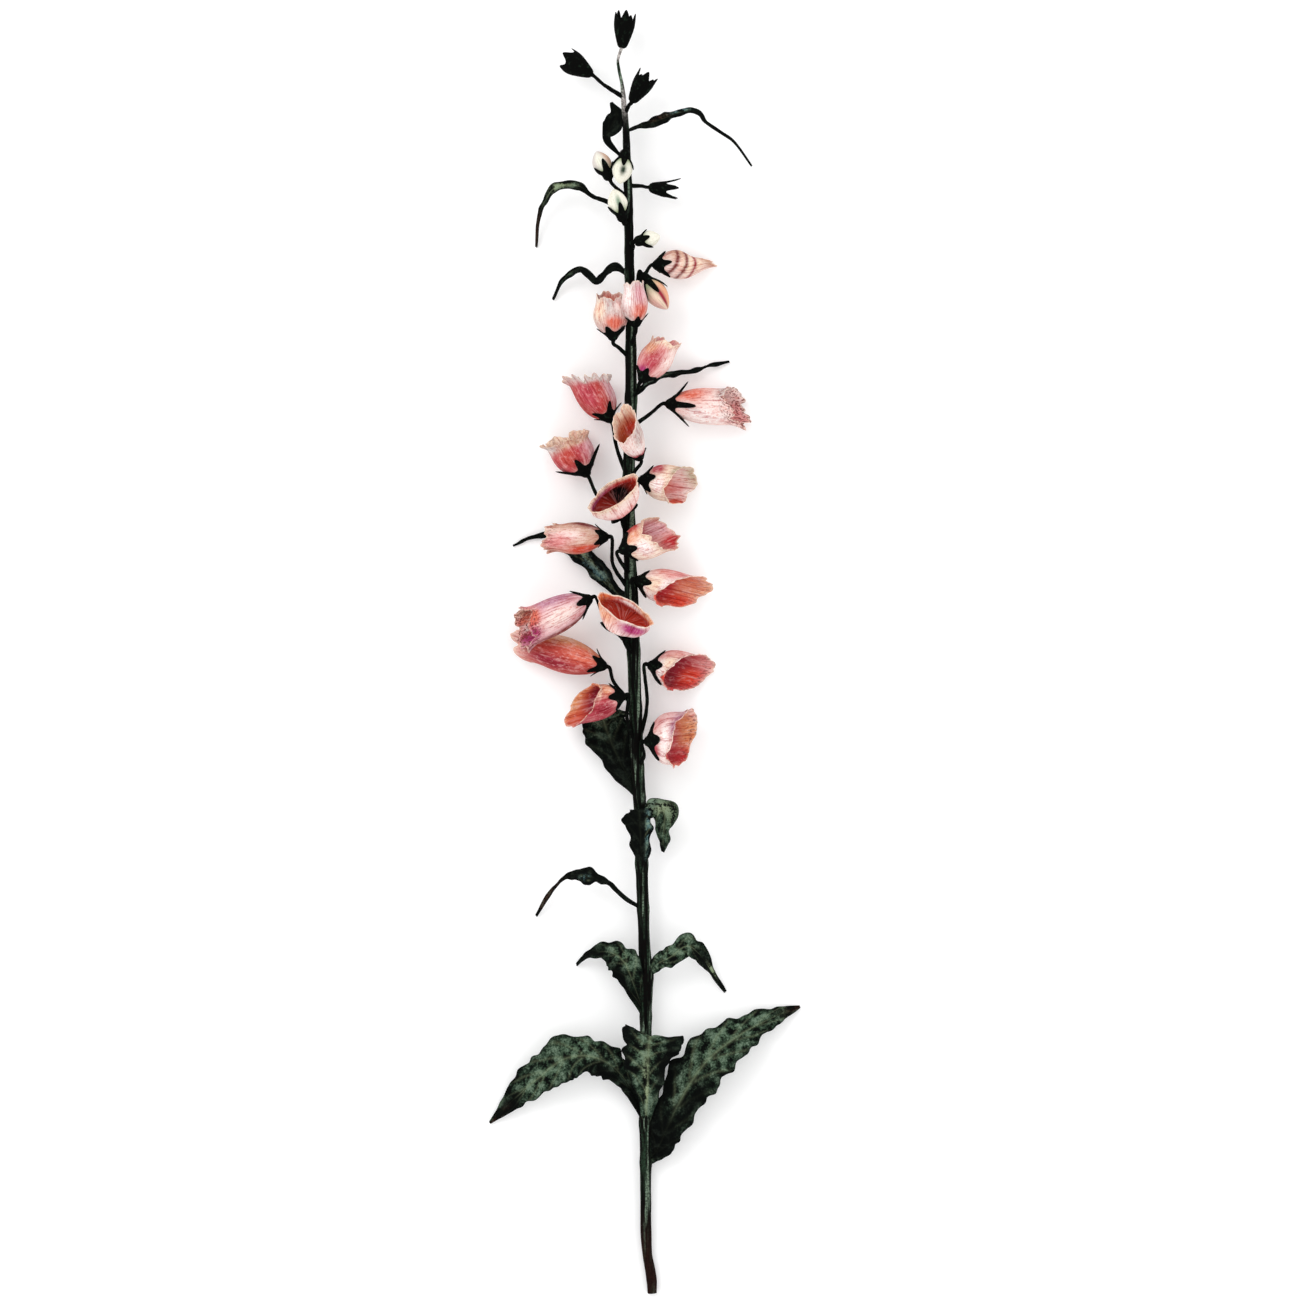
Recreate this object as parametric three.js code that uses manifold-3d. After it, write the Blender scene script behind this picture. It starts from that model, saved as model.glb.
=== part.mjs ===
// Foxglove flower spike lying on a surface. Millimetres, +Z up, the tip of the stem towards +Y.
import * as THREE from "three";
import { mergeVertices } from "three/addons/utils/BufferGeometryUtils.js";
import Module from "manifold-3d";

const wasm = await Module();
wasm.setup();

// ---- driving dimensions --------------------------------------------------------------------
const GAP = 0.3; // clear space between a piece and the one that carries it
const STEM_SIDES = 10;
const STALK_RADIUS = 1.05; // flower stalk
const STALK_SIDES = 5;
const LEAF_THICKNESS = 0.8;
const WALL = 0.8; // corolla wall
const NECK = 2.7; // radius of the corolla's flat base
const BELL_SIDES = 15; // three to a lobe
const LOBES = 5;
const CALYX_SIDES = 10; // two to a sepal
const CALYX_WALL = 0.7;
const CALYX_DEPTH = 2.8; // closed end of the calyx behind the corolla

// x, y, z, radius of the stem, cut end first
const STEM = [
  [4.2, -373.4, 2.5, 2.6], [3.8, -365.0, 2.97, 3.1], [1.5, -352.0, 3.6, 2.8], [0.6, -341.0, 4.2, 3.2],
  [0.3, -318.0, 5.4, 3.2], [0.3, -297.0, 6.3, 3.4], [0.3, -271.0, 7.5, 3.6], [0.6, -240.0, 9.0, 3.3],
  [0.4, -212.0, 10.4, 3.4], [0.8, -187.0, 11.8, 4.1], [-0.2, -172.0, 12.5, 3.4], [-1.2, -143.5, 13.9, 3.4],
  [-2.0, -118.0, 15.1, 3.7], [-3.2, -84.0, 16.8, 3.6], [-4.6, -59.4, 18.0, 3.7], [-5.8, -27.5, 19.5, 3.8],
  [-6.7, 1.4, 20.6, 3.7], [-7.8, 30.4, 21.6, 3.7], [-8.7, 53.6, 22.2, 3.6], [-9.3, 76.8, 22.7, 3.6],
  [-9.3, 105.8, 23.1, 3.5], [-8.4, 130.0, 23.3, 3.4], [-8.1, 146.4, 23.5, 3.5], [-8.1, 166.8, 23.6, 3.2],
  [-8.2, 187.0, 23.7, 3.1], [-8.4, 204.4, 23.7, 3.0], [-9.0, 221.8, 23.6, 2.8], [-9.3, 239.2, 23.5, 2.6],
  [-9.6, 262.4, 23.2, 2.4], [-10.4, 282.8, 22.9, 2.4], [-11.0, 303.0, 22.4, 1.8], [-12.2, 317.5, 21.9, 1.5],
  [-13.3, 329.1, 21.6, 1.0], [-15.1, 337.8, 21.3, 0.9], [-15.7, 343.6, 21.0, 0.8], [-13.6, 350.6, 20.6, 0.9],
];
// a small bract grown on the stem below the top buds: x, y, z, width
const STEM_BRACT = [
  [-11, 285, 22.4, 2.4], [-17, 290.5, 22.6, 2], [-22.4, 300.6, 22.8, 3.4],
  [-18.4, 307.5, 23, 6.4], [-20.6, 318, 21.6, 1.6],
];

// x, y, z, width of every leaf from root to tip; roll turns the blade about its spine
const LEAVES = {
  leaf_low_right: { sides: 4, steps: 14, roll: -14, fold: 0.22, rest: true, rows: [
    [0.3, -297, 6.4, 4], [6.4, -290.5, 7.2, 13], [13.2, -276, 9.5, 23], [23.8, -254.5, 13, 28.5],
    [37, -236.2, 14.5, 29], [54.5, -222.8, 12, 21.5], [73, -213.2, 7, 13], [90.5, -206.8, 1.4, 1.6]] },
  leaf_low_left: { sides: 4, steps: 14, roll: 12, fold: 0.2, rest: true, rows: [
    [0.3, -273, 7.6, 4], [-8.7, -253, 12.5, 9.5], [-19.1, -240.3, 16, 19.5], [-31.9, -234.4, 17, 23],
    [-46.4, -236, 15, 25], [-60.9, -246.6, 11, 23], [-75.4, -259.4, 6, 14], [-90.5, -274.6, 1.2, 1.6]] },
  leaf_low_front: { sides: 4, steps: 12, roll: 0, fold: 0.16, rest: false, rows: [
    [0.6, -275.0, 8.6, 4], [1.7, -257.0, 15.5, 15], [1.2, -243.0, 20.5, 21], [1.7, -231.5, 26, 26],
    [5.0, -226.5, 31.5, 22], [12.0, -227.5, 34.5, 13], [17.0, -233.0, 33, 2.4]] },
  leaf_mid_right: { sides: 2, steps: 12, roll: -8, fold: 0.2, rest: true, rows: [
    [0.8, -188.5, 12, 4], [7, -181, 15.5, 6], [14.5, -176.8, 18, 10], [24.4, -171, 18.5, 11.5],
    [31, -174.6, 15.5, 11], [37.9, -183.8, 9, 7.4], [46.8, -198.1, 1.2, 1.8]] },
  leaf_mid_left: { sides: 4, steps: 12, roll: 8, fold: 0.2, rest: true, rows: [
    [0.4, -212, 10.6, 4], [-7.2, -191.5, 14.5, 13], [-13, -180, 17, 17.5], [-20.8, -176, 15.5, 14],
    [-31.4, -176.4, 9, 7], [-39.4, -182.8, 1.2, 1.8]] },
  leaf_thin_left: { sides: 2, steps: 14, roll: 6, fold: 0.1, rest: true, rows: [
    [-1.2, -149, 13.8, 2.8], [-12.8, -141.8, 17, 2.8], [-22, -132.8, 20, 3.8], [-31, -130.2, 20.5, 8.2],
    [-40.2, -128.8, 18.5, 6.8], [-46.3, -131, 15.5, 3.6], [-55.1, -140, 9, 3.4],
    [-63.4, -153.8, 1.2, 1.8]] },
  leaf_clasping_front: { sides: 4, steps: 8, roll: 0, fold: -0.3, rest: false, rows: [
    [-2.0, -123.0, 17, 5], [-2.4, -112.5, 22.6, 14], [-2.8, -102.0, 24.6, 17.5], [-3.2, -95.0, 25.6, 14],
    [-3.6, -90.5, 27.5, 4]] },
  leaf_curled_right: { sides: 4, steps: 12, roll: 0, fold: 0.12, rest: false, rows: [
    [-2.4, -97, 17.4, 4], [2.6, -91.6, 19, 8], [7.4, -89.4, 23, 13.5], [10.6, -93, 24, 16.5],
    [11.4, -101, 20, 14.5], [10.8, -109.4, 14, 9.5], [10.4, -116, 8, 2]] },
  leaf_broad_left: { sides: 4, steps: 12, roll: 6, fold: 0.12, rest: true, rows: [
    [-3.4, -84.0, 16.6, 4], [-13.3, -66.0, 14.5, 17], [-20.5, -50.0, 11.5, 25], [-24.0, -40.5, 7.5, 28],
    [-24.5, -37.6, 3.4, 22], [-23.5, -44.0, 1.4, 3]] },
  leaf_behind_left: { sides: 2, steps: 14, roll: 0, fold: 0.14, rest: true, rows: [
    [-7.8, 31.0, 20.6, 3.4], [-15.5, 34.0, 15, 6], [-26.1, 46.7, 8, 11], [-40.6, 60.6, 4.4, 12.5],
    [-53.9, 68.7, 3, 5], [-66.7, 67.0, 2.2, 3], [-77.1, 62.3, 1.2, 1.6]] },
  leaf_thin_right: { sides: 2, steps: 12, roll: -6, fold: 0.1, rest: true, rows: [
    [-8.1, 147.0, 22.4, 2.6], [0.0, 155.1, 18.4, 3.6], [8.7, 160.4, 15, 5.2], [15.7, 162.1, 12, 6],
    [27.3, 163.8, 8, 4.2], [37.7, 167.3, 4, 2.8], [49.3, 169.6, 1.2, 1.5]] },
  leaf_wavy_left: { sides: 2, steps: 14, roll: 6, fold: 0.1, rest: true, rows: [
    [-9.0, 219.0, 23.4, 3], [-19.1, 223.0, 22, 5], [-27.8, 215.5, 19, 5.2], [-37.1, 223.0, 14, 5.2],
    [-47.6, 216.9, 7, 3.6], [-53.4, 205.6, 1.2, 1.5]] },
  leaf_arched_left: { sides: 2, steps: 16, roll: 6, fold: 0.1, rest: true, rows: [
    [-9.5, 256.0, 23.2, 2.2], [-23.8, 261.9, 23, 3], [-31.3, 264.8, 23, 2.6], [-37.7, 270.0, 22, 5.2],
    [-51.6, 270.0, 18, 6], [-57.4, 263.3, 14, 4.6], [-61.5, 253.7, 9, 3.6], [-63.2, 236.3, 1.2, 1.5]] },
  leaf_arched_right: { sides: 2, steps: 16, roll: -6, fold: 0.1, rest: true, rows: [
    [-11.0, 302.0, 22.4, 1.8], [-4.6, 304.2, 24, 2.6], [4.1, 306.8, 25, 4.6], [12.2, 309.7, 26, 5.2],
    [20.3, 312.6, 25, 4.6], [29.6, 313.5, 22, 3.6], [36.5, 306.8, 18, 3.6], [51.4, 297.2, 9, 3],
    [62.1, 283.6, 1.2, 1.3]] },
};

// stalk root along the stem, stalk bend, corolla base, mouth centre, mouth radius, long-lip direction;
// a mouth without a height is lowered until its lip lies on the surface
const FLOWERS = {
  a01: { root: -67, bend: [-0.5, -59, 27.5], base: [1.6, -51.4, 30.5], mouth: [26.5, -50.6], radius: 14.6,
    lip: [0.1, -0.25, -1], cut: 0.3 },
  a02: { root: -56.5, bend: [1.2, -30, 21.5], base: [4.6, -7.4, 22], mouth: [30.5, -12.6], radius: 10.8,
    lip: [0, -0.45, -1], cut: 0.36 },
  a03: { root: -55.4, bend: [-10.5, -37, 25.5], base: [-13.9, -25.4, 28.5], mouth: [-40, -31.5, 23.5],
    radius: 9.4, lip: [0, -0.2, -1], cut: 0.34 },
  a04: { root: -32.2, bend: [-18.5, -16.5, 20.5], base: [-24.9, -7.6, 19.5], mouth: [-70, 4.4], radius: 10.4,
    lip: [0, -0.6, -1] },
  a05: { root: -1.4, bend: [-11.4, 5, 31], base: [-14.6, 12, 34.6], mouth: [-10.6, 26.6, 43.6], radius: 14.8,
    lip: [0.45, 0.9, -0.7], flat: 0.56 },
  a06: { root: 2.6, bend: [-22.6, 18.5, 26], base: [-33.1, 30.6, 29.5], mouth: [-68, 14.6, 34],
    radius: 10.8, lip: [0, -0.6, -0.8], cut: 0.18 },
  a07: { root: 28.1, bend: [-6.5, 33.5, 29.5], base: [-3.5, 41.5, 31.5], mouth: [28, 33.4], radius: 9.8,
    lip: [0, -0.45, -1], cut: 0.34 },
  a08: { root: 44.9, bend: [-14.6, 53.4, 36], base: [-12.4, 59.2, 39.2], mouth: [12, 70, 30],
    radius: 10.4, lip: [0.1, -0.4, -1], cut: 0.28 },
  a09: { root: 35.1, bend: [-18.5, 50.8, 26], base: [-23.8, 66.8, 28], mouth: [-54, 66.6, 22], radius: 8.8,
    lip: [0, -1, -0.4] },
  a10: { root: 66, bend: [-12.2, 71.5, 31], base: [-12.4, 76.6, 34.8], mouth: [-17.6, 88.4, 49], radius: 14.6,
    lip: [-0.45, 0.62, -0.7], flat: 0.48 },
  a11: { root: 91.9, bend: [-4, 96.6, 26.5], base: [-0.8, 99.8, 28.4], mouth: [23.6, 96.4], radius: 10,
    lip: [0, -0.3, -1], cut: 0.34 },
  a12: { root: 73.9, bend: [-26.1, 88.4, 20.5], base: [-34.4, 104.4, 20], mouth: [-47.6, 126.4], radius: 12.2,
    lip: [-0.6, 0, -1] },
  a13: { root: 97.7, bend: [-6, 104.5, 31], base: [-4.1, 112.2, 34.5], mouth: [-8.2, 133, 50], radius: 9.4,
    lip: [0.2, -1, 0.4] },
  a14: { root: 130.2, bend: [2.9, 138.3, 22], base: [14.6, 144.1, 21], mouth: [56.6, 142.6], radius: 10.8,
    lip: [0, -0.6, -1] },
  a15: { root: 100, bend: [-16.4, 118.6, 22], base: [-20.9, 136, 22], mouth: [-35.4, 162], radius: 10.8,
    lip: [-1, 0.2, -0.6] },
  a16: { root: 146.4, bend: [-4, 152.5, 29.4], base: [-1.2, 158.6, 30.8], mouth: [11.2, 179, 24.6],
    radius: 9.6, lip: [0.8, 0, -1], cut: 0.16 },
  a17: { root: 170, bend: [-15.4, 176.5, 28.4], base: [-18.6, 183, 30.2], mouth: [-20.4, 206, 30],
    radius: 8.2, lip: [-0.3, 0, -1] },
  a18: { root: 210.2, bend: [0, 219.6, 20.5], base: [7.2, 224.8, 20], mouth: [35.5, 229], radius: 7.8,
    lip: [0, -0.6, -1] },
};

// a small flower still grown into its calyx, one piece
const YOUNG_FLOWER = {
  root: 176, bend: [-6.2, 183, 31], base: [-5.4, 190.5, 34], mouth: [-6.6, 212, 40], radius: 6.6,
  lip: [0.3, -0.4, 1],
};

// the open calyx that ends the stem
const STEM_CUP = { base: [-13.0, 353.2, 20.4], tip: [-11.2, 372.4, 17.5], radius: 5.4, bud: 0 };

// buds and open calyxes above the flowers: what the calyx holds is a bud of the given radius, or nothing
const BUDS = {
  bud_top_left_cup: { root: 322, bend: [-24, 329.2, 22], base: [-33.4, 336.2, 20.5], tip: [-46.4, 345, 16],
    radius: 6.4, bud: 0 },
  bud_top_right_cup: { root: 312, bend: [-9, 317.6, 24.5], base: [-6.4, 321, 25.5], tip: [1.6, 334, 24],
    radius: 5.4, bud: 0 },
  bud_side_left: { root: 263, bend: [-16, 268.4, 26.4], base: [-22.4, 277, 26], tip: [-28.4, 290.4, 24],
    radius: 3.4, bud: 5 },
  bud_front_high: { root: 295, bend: [-10.4, 293, 28], base: [-11.6, 288, 31.6], tip: [-14.6, 272.6, 32],
    radius: 3.6, bud: 5.2 },
  bud_front_low: { root: 246, bend: [-11.4, 249, 28.5], base: [-13.2, 253.6, 31], tip: [-18.6, 267.6, 31.5],
    radius: 3.5, bud: 5 },
  bud_side_right_cup: { root: 270.6, bend: [-2, 270.2, 23.2], base: [5, 269.4, 21], tip: [20.4, 268.2, 14],
    radius: 4.8, bud: 0 },
  bud_small_right: { root: 232, bend: [-6.6, 235, 27.4], base: [-3.6, 238, 29], tip: [8.4, 240.6, 27],
    radius: 3.1, bud: 4.4 },
  bud_half_open: { root: 203, bend: [-5, 211, 28.5], base: [0.4, 215.8, 29.5], tip: [12.6, 200.6, 24],
    radius: 3, bud: 5 },
};

// ---- helpers ------------------------------------------------------------------------------------
const UP = new THREE.Vector3(0, 0, 1);
const vec = (p) => new THREE.Vector3(p[0], p[1], p[2]);
const smooth = (a, b, x) => THREE.MathUtils.smoothstep(x, a, b);

function column(rows, index) {
  const curve = new THREE.SplineCurve(rows.map((row, i) => new THREE.Vector2(i, row[index])));
  return (t) => curve.getPoint(t).y;
}

// points and frames along a spline through the rows, turned as little as possible on the way
function spineFrames(rows, steps) {
  const curve = new THREE.CatmullRomCurve3(rows.map(vec), false, "centripetal");
  const frames = [];
  let side = new THREE.Vector3().crossVectors(UP, curve.getTangent(0)).normalize();
  for (let i = 0; i <= steps; i += 1) {
    const along = curve.getTangent(i / steps).normalize();
    side = side.clone().addScaledVector(along, -side.dot(along)).normalize();
    const out = new THREE.Vector3().crossVectors(along, side);
    frames.push({ at: curve.getPoint(i / steps), along, side, out });
  }
  return frames;
}

function remap(geometry, place) {
  const spots = geometry.attributes.position;
  for (let i = 0; i < spots.count; i += 1) {
    const spot = place(new THREE.Vector3().fromBufferAttribute(spots, i), i);
    spots.setXYZ(i, spot.x, spot.y, spot.z);
  }
  return geometry;
}

function tube(rows, sides, steps, grow = 0) {
  const frames = spineFrames(rows, steps);
  const radius = column(rows, 3);
  return remap(new THREE.CylinderGeometry(1, 1, 1, sides, steps), (p) => {
    const t = p.y + 0.5;
    const frame = frames[Math.round(t * steps)];
    const r = radius(t) + grow;
    return frame.at.clone().addScaledVector(frame.out, p.x * r).addScaledVector(frame.side, p.z * r);
  });
}

// a leaf blade: a thin box bent along its spine, folded at the midrib, with a wavy edge
function blade(rows, { sides, steps, roll, fold }, thickness) {
  const frames = spineFrames(rows, steps);
  const width = column(rows, 3);
  const turn = THREE.MathUtils.degToRad(roll);
  return remap(new THREE.BoxGeometry(1, 1, 1, sides, 1, steps), (p) => {
    const t = p.z + 0.5;
    const frame = frames[Math.round(t * steps)];
    const wave = 1 + 0.07 * Math.sin(t * 31 + p.x * 4) * smooth(0.1, 0.3, t);
    const half = (Math.max(width(t), 0.8) / 2) * wave;
    const across = p.x * 2 * half;
    const rise = fold * Math.abs(across) + 0.05 * half * Math.sin(t * 23) * 4 * p.x * p.x;
    const side = frame.side.clone().applyAxisAngle(frame.along, turn);
    const out = frame.out.clone().applyAxisAngle(frame.along, turn);
    return frame.at.clone().addScaledVector(side, across).addScaledVector(out, rise + p.y * thickness);
  });
}

// an axis from base to tip with the direction of the long lip square to it: cut is how far the mouth is cut
// aslant that way, as a share of the length, and flat how far the flower is squashed that way
function axisFrame(base, tip, lipHint, { flat = 1, cut = 0.11 } = {}) {
  const at = vec(base);
  const along = vec(tip).sub(at);
  const length = along.length();
  along.normalize();
  const lip = vec(lipHint);
  lip.addScaledVector(along, -lip.dot(along)).normalize();
  return { at, along, lip, side: new THREE.Vector3().crossVectors(along, lip), length, flat, cut };
}

function revolve(profile, sides, frame, shape) {
  const geometry = new THREE.LatheGeometry(profile.map((p) => new THREE.Vector2(p[0], p[1])), sides);
  const uv = geometry.attributes.uv;
  return remap(geometry, (p, i) => {
    const angle = uv.getX(i) * Math.PI * 2;
    const [radius, height] = shape(Math.hypot(p.x, p.z), p.y, angle);
    const flat = 1 - (1 - frame.flat) * smooth(0, 0.7, height / frame.length);
    return frame.at.clone().addScaledVector(frame.along, height)
      .addScaledVector(frame.lip, radius * flat * Math.cos(angle))
      .addScaledVector(frame.side, radius * Math.sin(angle));
  });
}

// outside radius of a corolla at a share s of its length
function bellRadius(s, mouth) {
  const swell = (1 - Math.exp(-4.8 * s)) / (1 - Math.exp(-4.8));
  const belly = 0.12 * mouth * Math.sin(Math.PI * Math.min(Math.max(s, 0), 1));
  return NECK + (mouth * 0.92 - NECK) * swell + belly + 0.12 * mouth * smooth(0.82, 1.02, s);
}

function bellShape(frame, mouth) {
  return (radius, height, angle) => {
    const s = height / frame.length;
    const rim = smooth(0.72, 1, s);
    const lobe = Math.cos(LOBES * angle);
    const longer = frame.length * frame.cut * Math.cos(angle) * s * s;
    const belly = 1 + 0.07 * Math.cos(angle) * Math.sin(Math.PI * Math.min(Math.max(s, 0), 1));
    return [radius * belly * (1 + 0.05 * rim * lobe), height + longer + 0.045 * frame.length * rim * lobe];
  };
}

function corolla(frame, mouth) {
  const length = frame.length;
  const outer = [0, 0.1, 0.28, 0.6, 1].map((s) => [bellRadius(s, mouth), s * length]);
  const inner = [0.985, 0.6, 0.28, 0.12].map((s) => [bellRadius(s, mouth) - WALL, s * length]);
  const profile = [[0, 0], ...outer, ...inner, [0, 0.08 * length]];
  return revolve(profile, BELL_SIDES, frame, bellShape(frame, mouth));
}

// five pointed sepals round a closed cup; inside(h) is the clear radius at height h above the base.
// The first number of a profile row is the kind of the row, except that 0 and 1.5 are radii.
function sepals(frame, inside, { floor, notch, tip, flare, shape, filled = false }) {
  const outer = [[0, -CALYX_DEPTH], [1.5, -CALYX_DEPTH], [2, floor - 0.2], [3, notch], [4, tip],
    [5, tip - 0.3]];
  const profile = [...outer, ...(filled ? [[0, notch - 0.6]] : [[6, notch], [7, floor], [0, floor]])];
  return revolve(profile, CALYX_SIDES, frame, (mark, height, angle) => {
    const kind = Math.round(mark * 2) / 2;
    if (kind === 0 || kind === 1.5) {
      return [kind, height];
    }
    const point = 0.5 + 0.5 * Math.cos(LOBES * angle);
    const h = height <= notch ? height : notch + (height - notch) * (0.1 + 0.9 * point);
    const free = Math.max(0, (h - notch) / (tip - notch));
    const spread = flare * free * free;
    const thick = { 2: CALYX_WALL, 3: CALYX_WALL, 4: 0.5, 5: 0, 6: 0, 7: 0 }[kind];
    const [radius, along] = shape(inside(Math.max(h, 0)), h, angle);
    return [radius + spread + thick, along];
  });
}

function solid(geometry) {
  const bare = new THREE.BufferGeometry();
  bare.setAttribute("position", geometry.attributes.position);
  bare.setIndex(geometry.index);
  const merged = mergeVertices(bare, 1e-4);
  const index = merged.index.array;
  const faces = [];
  for (let i = 0; i < index.length; i += 3) {
    const [a, b, c] = [index[i], index[i + 1], index[i + 2]];
    if (a !== b && b !== c && c !== a) {
      faces.push(a, b, c);
    }
  }
  const mesh = new wasm.Mesh({ numProp: 3, vertProperties: new Float32Array(merged.attributes.position.array),
    triVerts: new Uint32Array(faces) });
  mesh.merge();
  return new wasm.Manifold(mesh);
}

function geometryOf(body) {
  const mesh = body.getMesh();
  const geometry = new THREE.BufferGeometry();
  geometry.setAttribute("position", new THREE.BufferAttribute(new Float32Array(mesh.vertProperties), 3));
  geometry.setIndex(new THREE.BufferAttribute(new Uint32Array(mesh.triVerts), 1));
  return geometry;
}

function lowest(geometry) {
  geometry.computeBoundingBox();
  return geometry.boundingBox.min.z;
}

// stem centre at a place along Y
function stemAt(y) {
  const i = STEM.findIndex((row) => row[1] > y);
  const [a, b] = [STEM[i - 1], STEM[i]];
  const share = (y - a[1]) / (b[1] - a[1]);
  return [0, 1, 2].map((k) => a[k] + (b[k] - a[k]) * share);
}

// ---- pieces ---------------------------------------------------------------------------------------
const STEM_STEPS = STEM.length - 1;
const clearance = solid(tube(STEM, STEM_SIDES, STEM_STEPS, GAP));

function stem() {
  const bract = blade(STEM_BRACT, { sides: 2, steps: 6, roll: 0, fold: 0.1 }, LEAF_THICKNESS);
  return solid(tube(STEM, STEM_SIDES, STEM_STEPS)).add(solid(bract)).add(budBody(STEM_CUP).body);
}

// the outer half of the leaf is lowered until the leaf just reaches the surface
function leaf(spec) {
  let rows = spec.rows;
  for (let pass = 0; spec.rest && pass < 6; pass += 1) {
    const low = lowest(blade(rows, spec, LEAF_THICKNESS));
    rows = rows.map((row, i) => [row[0], row[1], row[2] - low * smooth(0, 1, i / (rows.length - 1)), row[3]]);
  }
  return solid(blade(rows, spec, LEAF_THICKNESS)).subtract(clearance);
}

// the mouth of a resting flower sinks until its lip lies on the surface
function flowerFrame(spec) {
  let height = spec.mouth.length > 2 ? spec.mouth[2] : spec.radius + 2;
  for (let pass = 0; spec.mouth.length < 3 && pass < 10; pass += 1) {
    const trial = axisFrame(spec.base, [spec.mouth[0], spec.mouth[1], height], spec.lip, spec);
    height -= lowest(corolla(trial, spec.radius));
  }
  return axisFrame(spec.base, [spec.mouth[0], spec.mouth[1], height], spec.lip, spec);
}

function stalk(root, bend, frame) {
  const before = (distance) => frame.at.clone().addScaledVector(frame.along, -distance).toArray();
  const rows = [stemAt(root), bend, before(CALYX_DEPTH + 1.6), before(CALYX_DEPTH - 0.9)];
  return solid(tube(rows.map((row) => [...row, STALK_RADIUS]), STALK_SIDES, 5)).subtract(clearance);
}

function calyx(spec, frame, gap = GAP) {
  const inside = (h) => bellRadius(h / frame.length, spec.radius) + 1.8 * gap;
  const tip = Math.min(7.6, 0.27 * frame.length);
  const cup = sepals(frame, inside, { floor: -gap, notch: 1.8, tip, flare: 1.6,
    shape: bellShape(frame, spec.radius) });
  return solid(cup).add(stalk(spec.root, spec.bend, frame));
}

function budBody(spec) {
  const frame = axisFrame(spec.base, spec.tip, [0.1, 0.2, 1]);
  const plain = (radius, height) => [radius, height];
  const open = spec.bud === 0;
  const cupRadius = (h) => spec.radius * Math.sin(Math.PI * (0.34 + 0.16 * Math.min(h / 6, 1)));
  const eggRadius = (s) => spec.bud * Math.sin(Math.PI * s) ** 0.7;
  // round a closed bud the cup is filled, so that the two are one body
  const inside = open ? cupRadius : (h) => eggRadius(Math.min(Math.max(h, 1) / frame.length, 0.5)) - 0.1;
  const cup = sepals(frame, inside, { floor: open ? 2.2 : 0.5, notch: open ? frame.length * 0.6 : 3.4,
    tip: open ? frame.length : frame.length * 0.62, flare: open ? 1.6 : 1.2, shape: plain, filled: !open });
  let body = solid(cup);
  if (!open) {
    const egg = [0.12, 0.35, 0.65, 0.92].map((s) => [eggRadius(s), s * frame.length]);
    body = body.add(solid(revolve([[0, 0], ...egg, [0, frame.length]], CALYX_SIDES, frame, plain)));
  }
  return { body, frame };
}

function bud(spec) {
  const { body, frame } = budBody(spec);
  return body.add(stalk(spec.root, spec.bend, frame));
}

const SLOTS = {
  stem: { color: 0x4c5a34, roughness: 0.6 },
  leaf: { color: 0x3f5a38, roughness: 0.6 },
  calyx: { color: 0x2f4028, roughness: 0.65 },
  petal: { color: 0xe58a84, roughness: 0.5 },
  bud: { color: 0xe8e6c8, roughness: 0.55 },
};
const materials = Object.fromEntries(Object.entries(SLOTS).map(([slot, look]) => {
  const material = new THREE.MeshStandardMaterial({ ...look, metalness: 0 });
  material.name = slot;
  return [slot, material];
}));

const spike = new THREE.Group();
spike.name = "foxglove_flower_spike";

function place(name, slot, geometry) {
  const mesh = new THREE.Mesh(geometry, materials[slot]);
  mesh.name = name;
  spike.add(mesh);
}

place("main_stem", "stem", geometryOf(stem()));
for (const [name, spec] of Object.entries(LEAVES)) {
  place(name, "leaf", geometryOf(leaf(spec)));
}
for (const [key, spec] of Object.entries(FLOWERS)) {
  const frame = flowerFrame(spec);
  place(`corolla_${key}`, "petal", corolla(frame, spec.radius));
  place(`calyx_${key}`, "calyx", geometryOf(calyx(spec, frame)));
}
const youngFrame = flowerFrame(YOUNG_FLOWER);
place("corolla_young", "petal",
  geometryOf(solid(corolla(youngFrame, YOUNG_FLOWER.radius)).add(calyx(YOUNG_FLOWER, youngFrame, -0.15))));
for (const [name, spec] of Object.entries(BUDS)) {
  place(name, spec.bud === 0 ? "calyx" : "bud", geometryOf(bud(spec)));
}

export default spike;
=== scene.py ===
import math

import bpy
import numpy as np
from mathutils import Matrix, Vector, noise


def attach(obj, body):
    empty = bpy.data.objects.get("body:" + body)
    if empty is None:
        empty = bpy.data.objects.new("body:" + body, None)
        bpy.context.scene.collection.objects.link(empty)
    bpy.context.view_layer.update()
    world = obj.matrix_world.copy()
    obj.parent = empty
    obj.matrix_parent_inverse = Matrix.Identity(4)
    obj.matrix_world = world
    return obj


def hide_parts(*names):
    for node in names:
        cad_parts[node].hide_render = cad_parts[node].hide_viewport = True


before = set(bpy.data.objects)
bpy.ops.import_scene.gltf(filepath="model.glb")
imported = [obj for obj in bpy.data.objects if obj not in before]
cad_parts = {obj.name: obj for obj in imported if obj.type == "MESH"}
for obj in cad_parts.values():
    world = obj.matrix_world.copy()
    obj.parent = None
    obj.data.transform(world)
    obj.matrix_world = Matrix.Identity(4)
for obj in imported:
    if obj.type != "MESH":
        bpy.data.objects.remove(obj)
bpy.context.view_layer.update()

# A foxglove flower spike laid on a pale surface, tip towards +Y. Tables and shapes are in millimetres.
MM = 0.001
UP = np.array([0.0, 0.0, 1.0])
FLOOR_CLEAR = 0.3  # how far above the surface the lowest petal or leaf edge stays


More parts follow.
